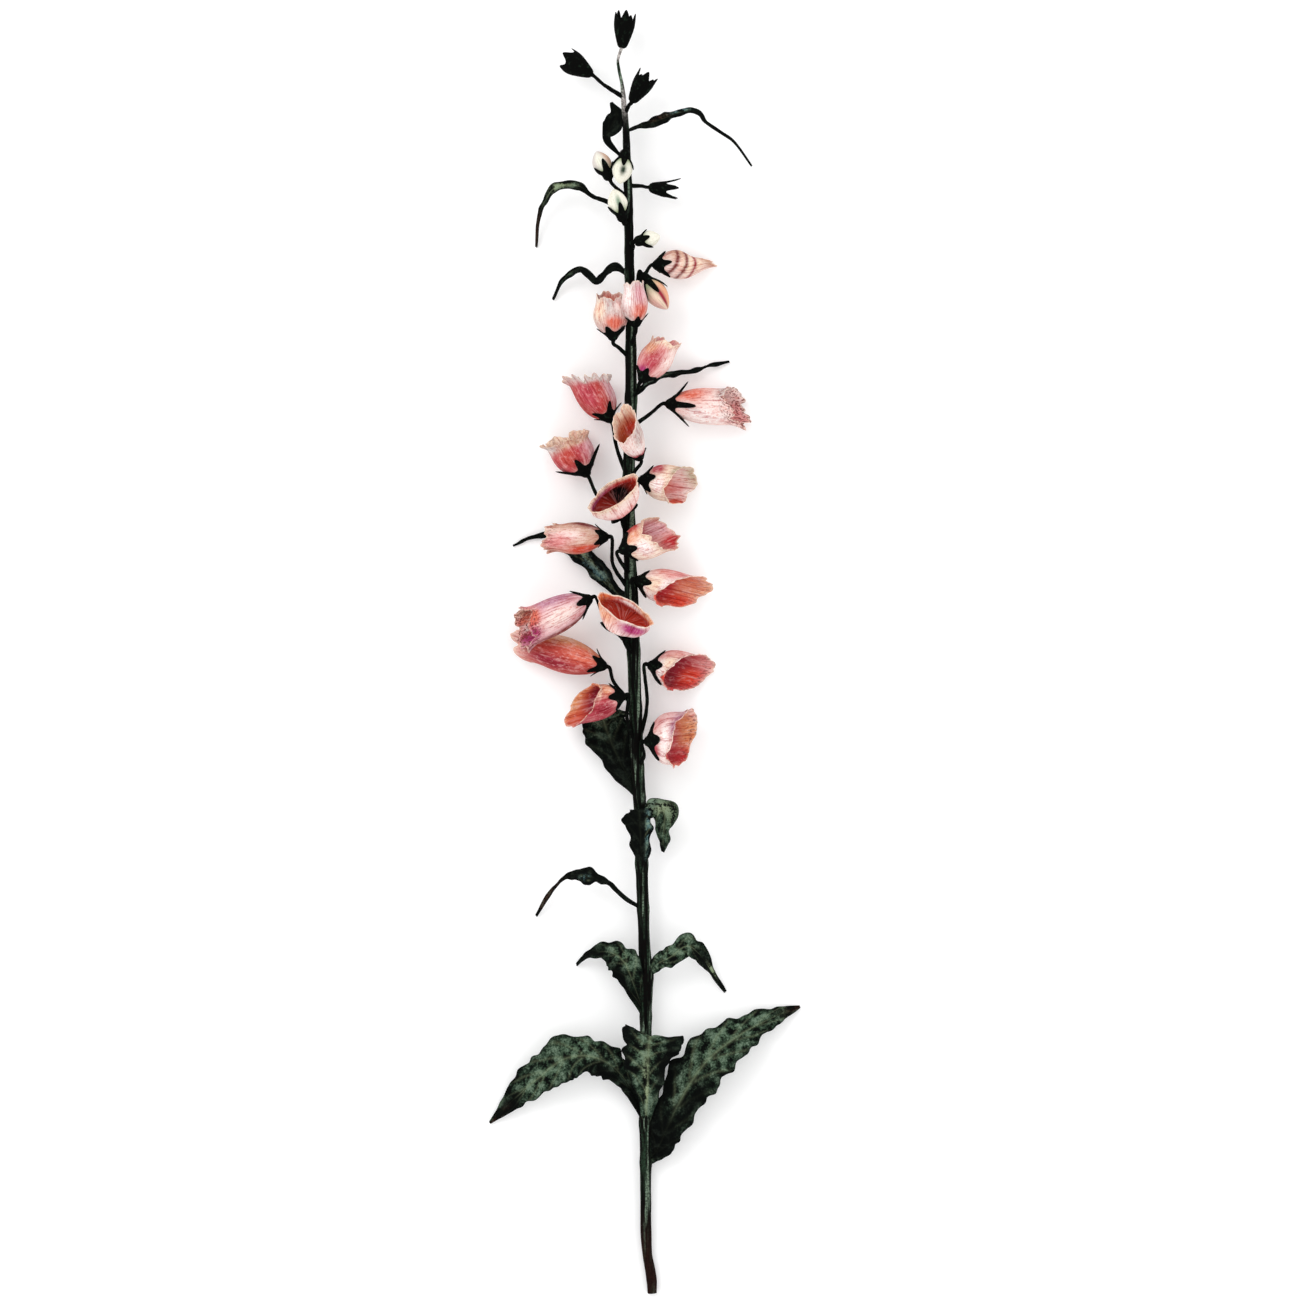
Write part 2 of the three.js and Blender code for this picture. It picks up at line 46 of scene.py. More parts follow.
# ---- camera, floor and lights ----
VIEW_CENTRE = (2.9, 1.45, 20)
VIEW_WIDTH = 754  # at the height of the centre
LENS = 150
SENSOR = 36
LAMPS = {  # place and size in metres, and watts
    "window_light": ((-0.9, 0.9, 1.7), 1, 8),
    "fill_light": ((1.1, -0.7, 1.9), 1.6, 3),
}
ROOM_LIGHT = 1.06
FLOOR_TONE = 0.94
FLOOR_GLOW = 0.1


def set_inputs(node, **values):
    for key, value in values.items():
        node.inputs[key.replace("_", " ")].default_value = value


def added(name, data):
    """A new object with this data, linked into the scene."""
    made = bpy.data.objects.new(name, data)
    bpy.context.scene.collection.objects.link(made)
    return made


def overhead_camera():
    data = bpy.data.cameras.new("overhead_camera")
    data.lens = LENS
    data.sensor_width = SENSOR
    data.clip_end = 20
    camera = added("overhead_camera", data)
    x, y, z = VIEW_CENTRE
    camera.location = Vector((x, y, z + VIEW_WIDTH * LENS / SENSOR)) * MM
    bpy.context.scene.camera = camera


def soft_light(name, place, size, watts):
    """A round lamp that points at the middle of the plant."""
    data = bpy.data.lights.new(name, "AREA")
    data.shape = "DISK"
    data.size = size
    data.energy = watts
    lamp = added(name, data)
    lamp.location = place
    lamp.rotation_euler = (-Vector(place)).to_track_quat("-Z", "Y").to_euler()


def studio():
    overhead_camera()
    for name, lamp in LAMPS.items():
        soft_light(name, *lamp)
    world = bpy.data.worlds.new("pale_room")
    world.use_nodes = True
    set_inputs(world.node_tree.nodes["Background"], Color=(1, 1, 1, 1), Strength=ROOM_LIGHT)
    bpy.context.scene.world = world
    bpy.context.scene.view_settings.view_transform = "Standard"
    bpy.ops.mesh.primitive_plane_add(size=8, location=(0, 0, 0))
    floor = bpy.context.object
    floor.name = "pale_floor"
    white = bpy.data.materials.new("pale_floor")
    white.use_nodes = True
    set_inputs(white.node_tree.nodes["Principled BSDF"], Base_Color=(FLOOR_TONE, FLOOR_TONE, FLOOR_TONE, 1),
        Roughness=0.95, Emission_Color=(1, 1, 1, 1), Emission_Strength=FLOOR_GLOW)
    floor.data.materials.append(white)


# ---- measures of the plant ----
LOBES = 5
NECK = 2.7  # radius of a bell at its base
BELL_WALL = 0.5
BELL_OPENING = 4.8  # how fast a bell widens from its neck
BELL_MOUTH, BELL_BELLY, BELL_FLARE = 0.92, 0.12, 0.12  # shares of the mouth's radius
CALYX_WALL = 0.45
CALYX_CLEAR = 0.55  # from what the sepals hold
CALYX_DEPTH = 2.8
FLOWER_NOTCH = 1.6  # how far up a flower's calyx is whole
STALK_RADIUS = 1.05
STALK_FOOT = 1.5
JOINT_REACH = 3.2  # how far the stem swells on each side of a stalk or leaf
ROUGHNESS = 0.22  # how deep the skin of stem and stalks is pitted
LEAF_THICKNESS = 0.55
PETAL_GRAIN = 22  # length of bell that the petals' grain is drawn for

# Sides and rings of round tubes, and where each kind of piece starts its random draws
STEM_MESH, STALK_MESH = (24, 420), (12, 26)
SEPAL_SEED, LEAF_SEED, BUD_SEED, CUP_SEED, BRACT_SEED = 1000, 500, 40, 90, 91


def rows_of(heads, **usual):
    """Makes the rows of a table: the values of its heads in order, then by name what isn't as usual."""
    return lambda *values, **others: usual | dict(zip(heads.split(), values)) | others


leaf_row = rows_of("roll fold veins", rest=True, body="ink", knots=0.16, patches=())
flower_row = rows_of("root bend base mouth radius lip",
    cut=0.11, slant=None, flat=1, taper=0, lift=0, frill=1.1, spots=0.3)
bud_row = rows_of("root bend base tip radius", bud=0, patches=())

# x, y, z, radius of the stem, cut end first
STEM = [
    (4.2, -373.4, 3, 2.6), (3.8, -365, 3.5, 3.1), (1.5, -352, 3.6, 2.8), (0.6, -341, 4.2, 3.2),
    (0.3, -318, 5.4, 3.2), (0.3, -297, 6.3, 3.4), (0.3, -271, 7.5, 3.6), (0.6, -240, 9, 3.3),
    (0.4, -212, 10.4, 3.4), (0.8, -187, 11.8, 4.1), (-0.2, -172, 12.5, 3.4),
    (-1.2, -143.5, 13.9, 3.4), (-2, -118, 15.1, 3.7), (-3.2, -84, 16.8, 3.6),
    (-4.6, -59.4, 18, 3.7), (-5.8, -27.5, 19.5, 3.8), (-6.7, 1.4, 20.6, 3.7), (-7.8, 30.4, 21.6, 3.7),
    (-8.7, 53.6, 22.2, 3.6), (-9.3, 76.8, 22.7, 3.6), (-9.3, 105.8, 23.1, 3.5), (-8.4, 130, 23.3, 3.4),
    (-8.1, 146.4, 23.5, 3.5), (-8.1, 166.8, 23.6, 3.2), (-8.2, 187, 23.7, 3.1), (-8.4, 204.4, 23.7, 3),
    (-9, 221.8, 23.6, 2.8), (-9.3, 239.2, 23.5, 2.6), (-9.6, 262.4, 23.2, 2.4),
    (-10.4, 282.8, 22.9, 2.4), (-11, 303, 22.4, 1.8), (-12.2, 317.5, 21.9, 1.5),
    (-13.3, 329.1, 21.6, 1), (-15.1, 337.8, 21.3, 0.9), (-15.7, 343.6, 21, 0.8),
    (-13.6, 350.6, 20.6, 0.9),
]
STEM_BRACT = leaf_row(0, 0.1, 3, rest=False, rows=[
    (-11, 285, 22.4, 2.4), (-16.5, 290.2, 22.6, 2), (-22.4, 298.6, 22.8, 5), (-18.6, 305.6, 23, 12),
    (-16.6, 312, 22.4, 8), (-19.6, 319, 21.6, 1.6)])
STEM_CUP = bud_row(None, None, (-13, 353.2, 20.4), (-11.2, 373, 17.5), 5.7, notch=0.62, spread=0.8)

# The roll and fold of each blade, its side veins, its body colour, patches and rows of x, y, z, width from
# root to tip. A patch is a colour with its place across (-1 to 1) and along (0 to 1) the blade, and how far
# it reaches both ways. Knots tell how ragged the edge is. A blade at rest touches the surface with its tip.
# Patches are partly a blade's own colour and partly painted light and shade: ink patches are mostly painted
# shadow on the shaded parts of a blade, and fern, sage and lichen patches partly painted light where it
# faces up.
LEAVES = {
    "leaf_low_right": leaf_row(-14, 0.22, 9, body="moss", patches=[
        ("fern", 0.2, 0.62, 0.8, 0.22), ("ink", 0, 0.2, 1.6, 0.18), ("ink", 0.9, 0.38, 0.4, 0.2),
        ("ink", -0.6, 0.42, 0.4, 0.1), ("umber", 0, 1, 1, 0.08), ("lichen", 0.2, 0.02, 0.4, 0.03)], rows=[
        (0.3, -297, 6.4, 5), (6.4, -290.5, 7.2, 13), (13.2, -276, 9.5, 22), (23.8, -254.5, 13, 27.5),
        (37, -236.2, 14.5, 29), (54.5, -222.8, 12, 21.5), (73, -213.2, 7, 12), (90.5, -206.8, 1.4, 1.6)]),
    "leaf_low_left": leaf_row(12, 0.2, 9, body="moss", patches=[
        ("fern", -0.3, 0.48, 0.6, 0.1), ("fern", 0.1, 0.7, 0.5, 0.1), ("ink", 0.7, 0.3, 0.6, 0.12),
        ("ink", 0, 0.06, 1.6, 0.14), ("ink", 0.2, 0.9, 1, 0.06), ("umber", 0.3, 0.97, 0.6, 0.05)], rows=[
        (0.3, -273, 7.6, 4), (-8.7, -253, 12.5, 9), (-19.1, -240.3, 16, 18), (-31.9, -234.4, 17, 22),
        (-46.4, -236, 15, 24), (-60.9, -246.6, 11, 22), (-75.4, -259.4, 6, 13),
        (-90.5, -274.6, 1.2, 1.6)]),
    "leaf_low_front": leaf_row(0, 0.2, 7, rest=False, body="moss", patches=[
        ("fern", 0.1, 0.5, 0.4, 0.2), ("lichen", 0.1, 0.25, 0.16, 0.2), ("ink", -0.8, 0.45, 0.3, 0.3),
        ("ink", 1, 0.72, 0.4, 0.2), ("ink", -1, 0.85, 0.4, 0.14), ("ink", 0, 1, 1.2, 0.05)], rows=[
        (0.6, -275, 8.6, 4), (1.7, -257, 15.5, 13), (1.6, -243, 20.5, 20), (2, -231, 26, 29),
        (2.6, -224.6, 29.5, 35), (3.2, -222.6, 26, 33), (3.4, -226, 22, 24)]),
    "leaf_mid_right": leaf_row(-8, 0.2, 6, body="moss", knots=0.26, patches=[
        ("fern", 0.3, 0.42, 0.6, 0.14), ("ink", 0, 0.85, 1.4, 0.24), ("lichen", 0.3, 0.84, 0.3, 0.04)], rows=[
        (0.8, -188.5, 12, 4), (7, -181, 15.5, 7), (14.5, -176.8, 18, 11), (24.4, -170.4, 18.5, 13),
        (31, -174.6, 15.5, 9), (37.9, -184.8, 9, 5.4), (46.8, -198.1, 1.2, 1.8)]),
    "leaf_mid_left": leaf_row(8, 0.2, 6, body="fir", knots=0.2, patches=[
        ("fern", -0.2, 0.45, 0.5, 0.16), ("ink", 0.8, 0.3, 0.5, 0.2), ("ink", 0, 0.88, 1.4, 0.2)], rows=[
        (0.4, -212, 10.6, 4), (-7.2, -191.5, 14.5, 13), (-12.4, -179.4, 17, 18.5), (-19.6, -174.4, 15.5, 13),
        (-31.4, -175.2, 9, 4.6), (-39.8, -182.4, 1.2, 1.8)]),
    "leaf_thin_left": leaf_row(6, 0.1, 4, knots=0.3, patches=[
        ("slate", 0.2, 0.5, 0.3, 0.04), ("umber", 0, 0.9, 1, 0.12)], rows=[
        (-1.2, -149, 13.8, 2.6), (-12.8, -141.8, 17, 2.4), (-21.5, -133.4, 20, 3.2),
        (-29.5, -130.4, 20.5, 8.6), (-38.5, -129.4, 18.5, 8), (-46, -130.6, 15.5, 2.6),
        (-55.1, -140, 9, 2.6), (-63.4, -153.8, 1.2, 1.8)]),
    "leaf_clasping_front": leaf_row(0, -0.2, 4, rest=False, knots=0.3, patches=[
        ("slate", -0.6, 0.55, 0.14, 0.3)], rows=[
        (-2, -123, 17, 5), (-2.4, -112.5, 22.6, 12), (-2.8, -102, 24.6, 17),
        (-3.2, -94, 25.4, 19), (-3.6, -90.5, 25.8, 15)]),
    "leaf_curled_right": leaf_row(0, 0.12, 5, rest=False, body="fern", knots=0.34, patches=[
        ("lichen", 0, 0.4, 0.8, 0.14), ("sage", 0.5, 0.26, 0.5, 0.12), ("moss", -0.4, 0.6, 0.4, 0.14),
        ("ink", 0, 0.97, 1.2, 0.1)], rows=[
        (-2.4, -97, 17.4, 4), (2.2, -92.2, 19, 8), (7.6, -89.4, 23, 13), (11.4, -92.2, 24, 18),
        (11.2, -100.6, 20, 12), (10.8, -108.8, 14, 7.4), (10.6, -116, 8, 2)]),
    "leaf_broad_left": leaf_row(6, 0.12, 6, patches=[
        ("moss", 0, 0.7, 1.2, 0.22), ("slate", 0.3, 0.76, 0.24, 0.05)], rows=[
        (-3.4, -84, 16.6, 4), (-13.3, -66, 14.5, 17), (-20.5, -50, 11.5, 25),
        (-24, -40.5, 7.5, 28), (-24.5, -37.6, 3.4, 22), (-23.5, -44, 1.4, 3)]),
    "leaf_behind_left": leaf_row(0, 0.14, 6, knots=0.24, patches=[
        ("slate", 0.1, 0.42, 0.4, 0.2), ("lichen", -0.1, 0.52, 0.16, 0.14), ("ink", 0, 0, 1.2, 0.14),
        ("ink", 0, 0.9, 1.4, 0.24)], rows=[
        (-7.8, 31, 20.6, 3.4), (-15.5, 34, 15, 6), (-26.1, 46.7, 8, 11), (-40.6, 60.6, 4.4, 12.5),
        (-53.9, 68.7, 3, 4.4), (-66.7, 67, 2.2, 2.2), (-77.1, 62.3, 1.2, 1.5)]),
    "leaf_thin_right": leaf_row(-6, 0.1, 4, knots=0.5, patches=[
        ("slate", 0.2, 0.3, 0.4, 0.1)], rows=[
        (-8.1, 147, 22.4, 2.4), (0, 155.1, 18.4, 3.4), (8.7, 160.4, 15, 4.8), (15.7, 162.1, 12, 4.2),
        (27.3, 163.8, 8, 2.8), (37.7, 167.3, 4, 2.4), (49.3, 169.6, 1.2, 1.4)]),
    "leaf_wavy_left": leaf_row(6, 0.1, 4, knots=0.4, patches=[
        ("moss", 0.1, 0.75, 0.4, 0.06)], rows=[
        (-9, 219, 23.4, 3), (-19.1, 223, 22, 5), (-27.8, 215.5, 19, 4.2), (-37.1, 223, 14, 4),
        (-47.6, 216.9, 7, 2.8), (-53.4, 205.6, 1.2, 1.5)]),
    "leaf_arched_left": leaf_row(6, 0.1, 5, knots=0.3, patches=[
        ("lichen", 0, 0.58, 0.5, 0.08), ("moss", 0, 0.72, 0.7, 0.08), ("umber", 0, 0.92, 1, 0.1)], rows=[
        (-9.5, 256, 23.2, 2.2), (-23.8, 261.9, 23, 3), (-31.3, 264.8, 23, 2.4), (-37.7, 270, 22, 4.6),
        (-51.6, 270, 18, 6), (-57.4, 263.3, 14, 4.6), (-61.5, 253.7, 9, 3.2), (-63.2, 236.3, 1.2, 1.5)]),
    "leaf_arched_right": leaf_row(-6, 0.1, 5, knots=0.3, patches=[
        ("umber", 0.4, 0.34, 0.4, 0.1), ("slate", 0.6, 0.5, 0.3, 0.06)], rows=[
        (-11, 302, 22.4, 1.8), (-4.6, 304.2, 24, 2.6), (4.1, 306.8, 25, 5), (12.2, 309.7, 26, 5.4),
        (20.3, 312.6, 25, 3.6), (29.6, 313.5, 22, 3.8), (36.5, 306.8, 18, 2.6), (51.4, 297.2, 9, 1.8),
        (62.1, 283.6, 1.2, 1.2)]),
}

# Stalk root along the stem, stalk bend, bell base, mouth centre, mouth radius, way of the long lip; sepal is
# its length, spread and slimness. A mouth with no height rests on the surface, held up by its lift. The body
# has patches outside and the lining inside. A patch's place across is positive towards the tip of the spike,
# or towards the right on an upright flower; its last number, if any, slants it. The patches are partly the
# petals' own colours and partly painted light and shade: paler where a bell's upper side faces the light,
# darker on its shaded side, and darker bands deeper in the linings where the throat lies in shade.
FLOWERS = {
    "a01": flower_row(-67, (-0.5, -59, 25.5), (2.2, -51.4, 26), (25.8, -49.6), 15.4, (0.1, 0.6, -1),
        lift=3, cut=0.3, slant=0.6, frill=1.2, spots=0.9, sepal=(3.8, 0.8, 1.5),
        body="shell", outside=[("pink", 0.9, 0.4, 0.35, 0.4), ("rose", -0.6, 0.12, 0.5, 0.14),
            ("white", 0, 0.5, 0.8, 0.2), ("mauve", 0.6, 0.9, 0.4, 0.2)],
        lining="salmon", inside=[("apricot", 0.4, 0.9, 0.8, 0.25), ("red", -0.7, 0.8, 0.4, 0.26),
            ("rose", -0.1, 0.55, 1.2, 0.2), ("blush", 0.9, 1, 0.3, 0.1)]),
    "a02": flower_row(-56.5, (1.2, -30, 20), (4.2, -7.6, 18.6), (30.2, -12.8), 11.2, (0, 0.55, -1),
        lift=2, cut=0.36, slant=0.74, spots=0.9, sepal=(6, 0.8, 1.5),
        body="white", outside=[("pink", 0.85, 0.45, 0.3, 0.5), ("cream", 0.3, 0.6, 0.4, 0.3)],
        lining="red", inside=[("crimson", 0, 0.55, 1.2, 0.24), ("scarlet", -0.2, 0.8, 0.5, 0.16),
            ("pink", 0.6, 0.95, 0.4, 0.14), ("blush", 0.1, 1.04, 0.9, 0.08)]),
    "a03": flower_row(-55.4, (-10.5, -37, 25.5), (-13.9, -25.4, 28.5), (-40, -31.5, 24), 10.2, (0, -0.9, -1),
        cut=0.34, slant=0.6, frill=0.9, sepal=(5, 1, 1.8),
        body="rose", outside=[("cream", 0.55, 0.75, 0.4, 0.2, -0.2), ("peach", 0.7, 0.3, 0.4, 0.3),
            ("crimson", -0.5, 0.45, 0.3, 0.3), ("pink", 0, 0.1, 0.9, 0.1)],
        lining="vermilion", inside=[("apricot", 0.3, 1, 0.8, 0.16), ("crimson", 0, 0.6, 1.2, 0.16)]),
    # a04: cream and apricot along its upper edge are painted highlight, the crimson on its lower side painted
    # shade
    "a04": flower_row(-32.2, (-18.5, -16.5, 20.5), (-24.9, -7.6, 19.5), (-70, 4.4), 11, (0, 0.5, 0.8),
        slant=0.15, taper=0.26, frill=0.8, spots=0.4, sepal=(6.5, 1.6, 1.8),
        body="brick", outside=[("apricot", 0.85, 0.5, 0.3, 0.5), ("cream", 0.98, 0.75, 0.24, 0.3),
            ("crimson", -0.5, 0.6, 0.34, 0.3), ("blush", 0.2, 1, 1.2, 0.12), ("coral", 0.3, 0.2, 0.5, 0.2)],
        lining="crimson", inside=[("coral", 0.3, 1, 0.7, 0.14)]),
    "a05": flower_row(-1.4, (-11.4, 5, 30), (-13.4, 16.2, 33), (-11.4, 24.2, 46.5), 17, (0.62, 0.9, -0.7),
        flat=0.34, frill=0.7, spots=0.1, sepal=(5, 1.2, 1.8),
        body="shell", outside=[("peach", -0.9, 0.7, 0.5, 0.3), ("magenta", 0.3, 0.62, 0.55, 0.24),
            ("white", 0.2, 0.92, 0.9, 0.07)],
        lining="scarlet", inside=[("red", 0, 0.6, 0.6, 0.14), ("orange", -0.9, 0.85, 0.5, 0.3),
            ("apricot", 0.8, 0.9, 0.4, 0.14), ("white", 0.3, 0.84, 0.4, 0.08), ("cream", 0, 1, 1.6, 0.04)]),
    "a06": flower_row(2.6, (-22.6, 18.5, 26), (-33.1, 30.6, 29.5), (-68, 14.6, 29.5), 11, (0, -0.6, -0.8),
        cut=0.18, slant=0.14, frill=2.5, spots=1.6, sepal=(8, 2.2, 1.6),
        body="lilac", outside=[("shell", -0.2, 0.5, 0.5, 0.3), ("mauve", 0.85, 0.5, 0.3, 0.4),
            ("coral", 0.3, 0.92, 0.6, 0.12), ("magenta", -0.5, 0.96, 0.4, 0.1),
            ("plum", -0.98, 0.4, 0.1, 0.5)],
        lining="rose", inside=[("magenta", -0.7, 0.9, 0.4, 0.14), ("coral", 0.4, 0.85, 0.4, 0.12),
            ("white", 0, 0.88, 0.16, 0.08), ("tan", 0.8, 0.95, 0.2, 0.1), ("blush", 0, 1.04, 1.2, 0.07)]),
    "a07": flower_row(28.1, (-6.5, 33.5, 27), (-3.3, 41.5, 27.8), (28, 33.6), 10.4, (0, 0.7, -1),
        lift=5, cut=0.34, slant=0.68, frill=1, spots=0.5, sepal=(5, 1, 1.7),
        body="white", outside=[("pink", 0.85, 0.6, 0.3, 0.4), ("cream", 0, 0.3, 0.6, 0.3)],
        lining="coral", inside=[("salmon", 0.3, 0.75, 0.6, 0.2), ("scarlet", -0.6, 0.8, 0.4, 0.24),
            ("red", 0, 0.5, 1.2, 0.16), ("peach", 0.5, 1, 0.7, 0.12)]),
    "a08": flower_row(44.9, (-14.6, 53.4, 35), (-12.4, 59.4, 37.4), (12, 70, 30), 11, (0.1, -0.4, -1),
        cut=0.28, slant=0.5, spots=0.5, sepal=(5, 1, 1.8),
        body="cream", outside=[("red", 0.9, 0.45, 0.24, 0.34), ("peach", 0.5, 0.3, 0.3, 0.3),
            ("white", -0.4, 0.5, 0.5, 0.3)],
        lining="blush", inside=[("lilac", 0.4, 0.85, 0.5, 0.24), ("red", -0.6, 0.9, 0.4, 0.16),
            ("rose", 0, 0.5, 1.2, 0.16), ("tan", 0.9, 1.05, 0.4, 0.14)]),
    "a09": flower_row(35.1, (-18.5, 50.8, 26), (-23.8, 66.8, 28), (-54, 66.6, 22), 9.2, (0, -0.6, 0.8),
        taper=0.2, frill=1.4, spots=0.7, sepal=(5, 1, 2.2),
        body="tan", outside=[("shell", 0.1, 0.65, 0.4, 0.3), ("vermilion", -0.8, 0.35, 0.26, 0.3),
            ("plum", 0.9, 0.3, 0.18, 0.3), ("pink", -0.3, 0.8, 0.5, 0.2)],
        lining="tan", inside=[("coral", 0, 0.8, 0.8, 0.3)]),
    "a10": flower_row(66, (-12.6, 73, 30), (-15.4, 84.4, 33.6), (-18, 91.2, 50), 16, (-0.5, 0.62, -0.4),
        flat=0.36, frill=0.6, spots=0.5, sepal=(5, 1.2, 1.8),
        body="shell", outside=[("pink", 0, 0.2, 1.6, 0.2), ("cream", 0, 0.9, 1.6, 0.2)],
        lining="scarlet", inside=[("magenta", -0.7, 0.7, 0.5, 0.3), ("red", -0.1, 0.5, 0.5, 0.2),
            # a10: the near black patch deep in its throat is painted shade
            ("near_black", 0.4, 0.1, 0.8, 0.17), ("cream", 0, 1, 2.4, 0.12)]),
    "a11": flower_row(91.9, (-4, 96.6, 26), (-0.8, 99.8, 26.6), (23.6, 96.4), 10.6, (0, 0.3, -1),
        lift=4, cut=0.34, slant=0.56, spots=0.4, sepal=(4.5, 0.8, 1.8),
        body="cream", outside=[("rose", 0.85, 0.3, 0.3, 0.2), ("white", -0.2, 0.4, 0.5, 0.3),
            ("khaki", 0.8, 0.95, 0.3, 0.16)],
        lining="shell", inside=[("pink", -0.2, 0.75, 0.5, 0.16), ("coral", 0, 0.5, 1.2, 0.14),
            ("vermilion", -0.9, 0.92, 0.2, 0.16), ("khaki", 0.7, 1, 0.6, 0.14)]),
    "a12": flower_row(73.9, (-26.1, 88.4, 20.5), (-34.4, 104.4, 20), (-47.6, 126.4), 12.4, (-0.6, 0, -1),
        slant=0.26, frill=2.2, spots=0.5, sepal=(9, 4.2, 3.4),
        body="rose", outside=[("blush", 0.3, 0.05, 1.4, 0.09), ("brick", -0.4, 0.5, 0.5, 0.3),
            ("lilac", 0.9, 0.5, 0.34, 0.4), ("tan", 0.2, 0.92, 1.4, 0.14),
            ("ash", -0.95, 0.95, 0.4, 0.16)],
        lining="tan", inside=[("cream", 0, 1, 1.2, 0.12)]),
    "a13": flower_row(97.7, (-6, 104.5, 31), (-3.6, 113.4, 34.5), (-12.4, 132.6, 49), 6.8, (0.25, 0.6, -0.8),
        flat=1.6, slant=0.2, frill=0.6, sepal=(4.5, 1.4, 2.4),
        body="shell", outside=[("rose", 0, 0.08, 1.4, 0.12), ("white", 0, 0.36, 1.2, 0.12),
            ("ash", 0.8, 0.7, 0.5, 0.3)],
        # a13: the umber low in its throat is painted shade
        lining="orange", inside=[("scarlet", 0.2, 0.5, 0.6, 0.16), ("umber", 0.6, 0.26, 0.5, 0.14),
            ("cream", 0, 1, 2.4, 0.22)]),
    "a14": flower_row(130.2, (2.9, 138.3, 22), (14.6, 144.1, 21), (56.6, 142.6), 10.8, (0, -0.6, -1),
        slant=0.22, frill=2.2, spots=1.6, sepal=(11, 6, 3.6),
        body="blush", outside=[("coral", 0.75, 0.3, 0.4, 0.24), ("white", -0.6, 0.55, 0.5, 0.4),
            ("shell", 0.1, 0.75, 0.6, 0.2), ("ash", 0.8, 0.95, 0.4, 0.16)],
        lining="shell", inside=[("pink", -0.4, 0.9, 0.8, 0.14), ("ash", 0.3, 1.04, 1.2, 0.06)]),
    "a15": flower_row(100, (-16.4, 118.6, 22), (-20.9, 136, 22), (-35.4, 162), 10.8, (-1, 0.2, -0.6),
        slant=0.26, frill=2.2, sepal=(5.5, 3.2, 3.2),
        body="brick", outside=[("blush", 0.3, 0.03, 1.4, 0.05), ("rose", -0.4, 0.6, 0.5, 0.4),
            ("lilac", 0.9, 0.6, 0.3, 0.4), ("ash", 0.3, 0.98, 1.6, 0.11)],
        lining="blush", inside=[("ash", 0, 1, 1.4, 0.14)]),
    "a16": flower_row(146.4, (-4, 152.5, 29.4), (-1.2, 158.6, 30.8), (12.4, 180, 24.6), 9.6, (0.8, 0, -1),
        cut=0.16, taper=0.24, sepal=(4, 0.8, 2),
        body="pink", outside=[("rose", 0.1, 0.4, 0.6, 0.3), ("magenta", 0.5, 0.1, 0.5, 0.1),
            ("peach", 0.7, 0.75, 0.4, 0.2), ("shell", -0.8, 0.7, 0.3, 0.4), ("cream", -0.1, 0.97, 1, 0.1)],
        lining="blush", inside=[("pink", 0, 0.8, 1.2, 0.3)]),
    "a17": flower_row(170, (-15.4, 176.5, 28.4), (-18.6, 183, 30.2), (-20.4, 206, 30), 10.4, (-0.3, 0, -1),
        taper=0.34, frill=0.5, spots=0.2, sepal=(4.5, 1, 2.2),
        body="ash", outside=[("coral", 0.15, 0.3, 0.7, 0.2), ("shell", 0.7, 0.8, 0.4, 0.2),
            ("cream", -0.7, 0.7, 0.3, 0.3)],
        lining="ash", inside=[("coral", 0, 0.7, 1.2, 0.3)]),
    "a18": flower_row(210.2, (0, 219.6, 20.5), (7.2, 224.8, 20), (36.5, 228.4), 8.8, (0, -0.9, 0.5),
        taper=0.66, slant=0.35, frill=0.7, spots=0.1, sepal=(5, 1.2, 2.4),
        body="shell", outside=[("tan", 0.7, 0.6, 0.5, 0.5), ("cream", -0.2, 0.6, 0.7, 0.3),
            ("plum", 0, 0.3, 1.8, 0.04, 0.16), ("plum", 0, 0.5, 1.8, 0.036, 0.16),
            ("crimson", 0, 0.7, 1.8, 0.034, 0.16), ("tan", 0, 1, 1.4, 0.14)],
        lining="salmon", inside=[("peach", 0, 1, 1.2, 0.14)]),
    "young": flower_row(176, (-6.2, 183, 31), (-5.4, 190.5, 34), (-6.6, 212, 40), 7.8, (0.3, -0.4, 1),
        taper=0.34, frill=0.5, sepal=(4.5, 1, 2.2),
        body="ash", outside=[("coral", 0.3, 0.35, 0.7, 0.24), ("white", -0.5, 0.7, 0.5, 0.3),
            ("lilac", 0.5, 0.75, 0.5, 0.2)],
        lining="blush", inside=[("coral", 0, 0.7, 1.2, 0.3)]),
}

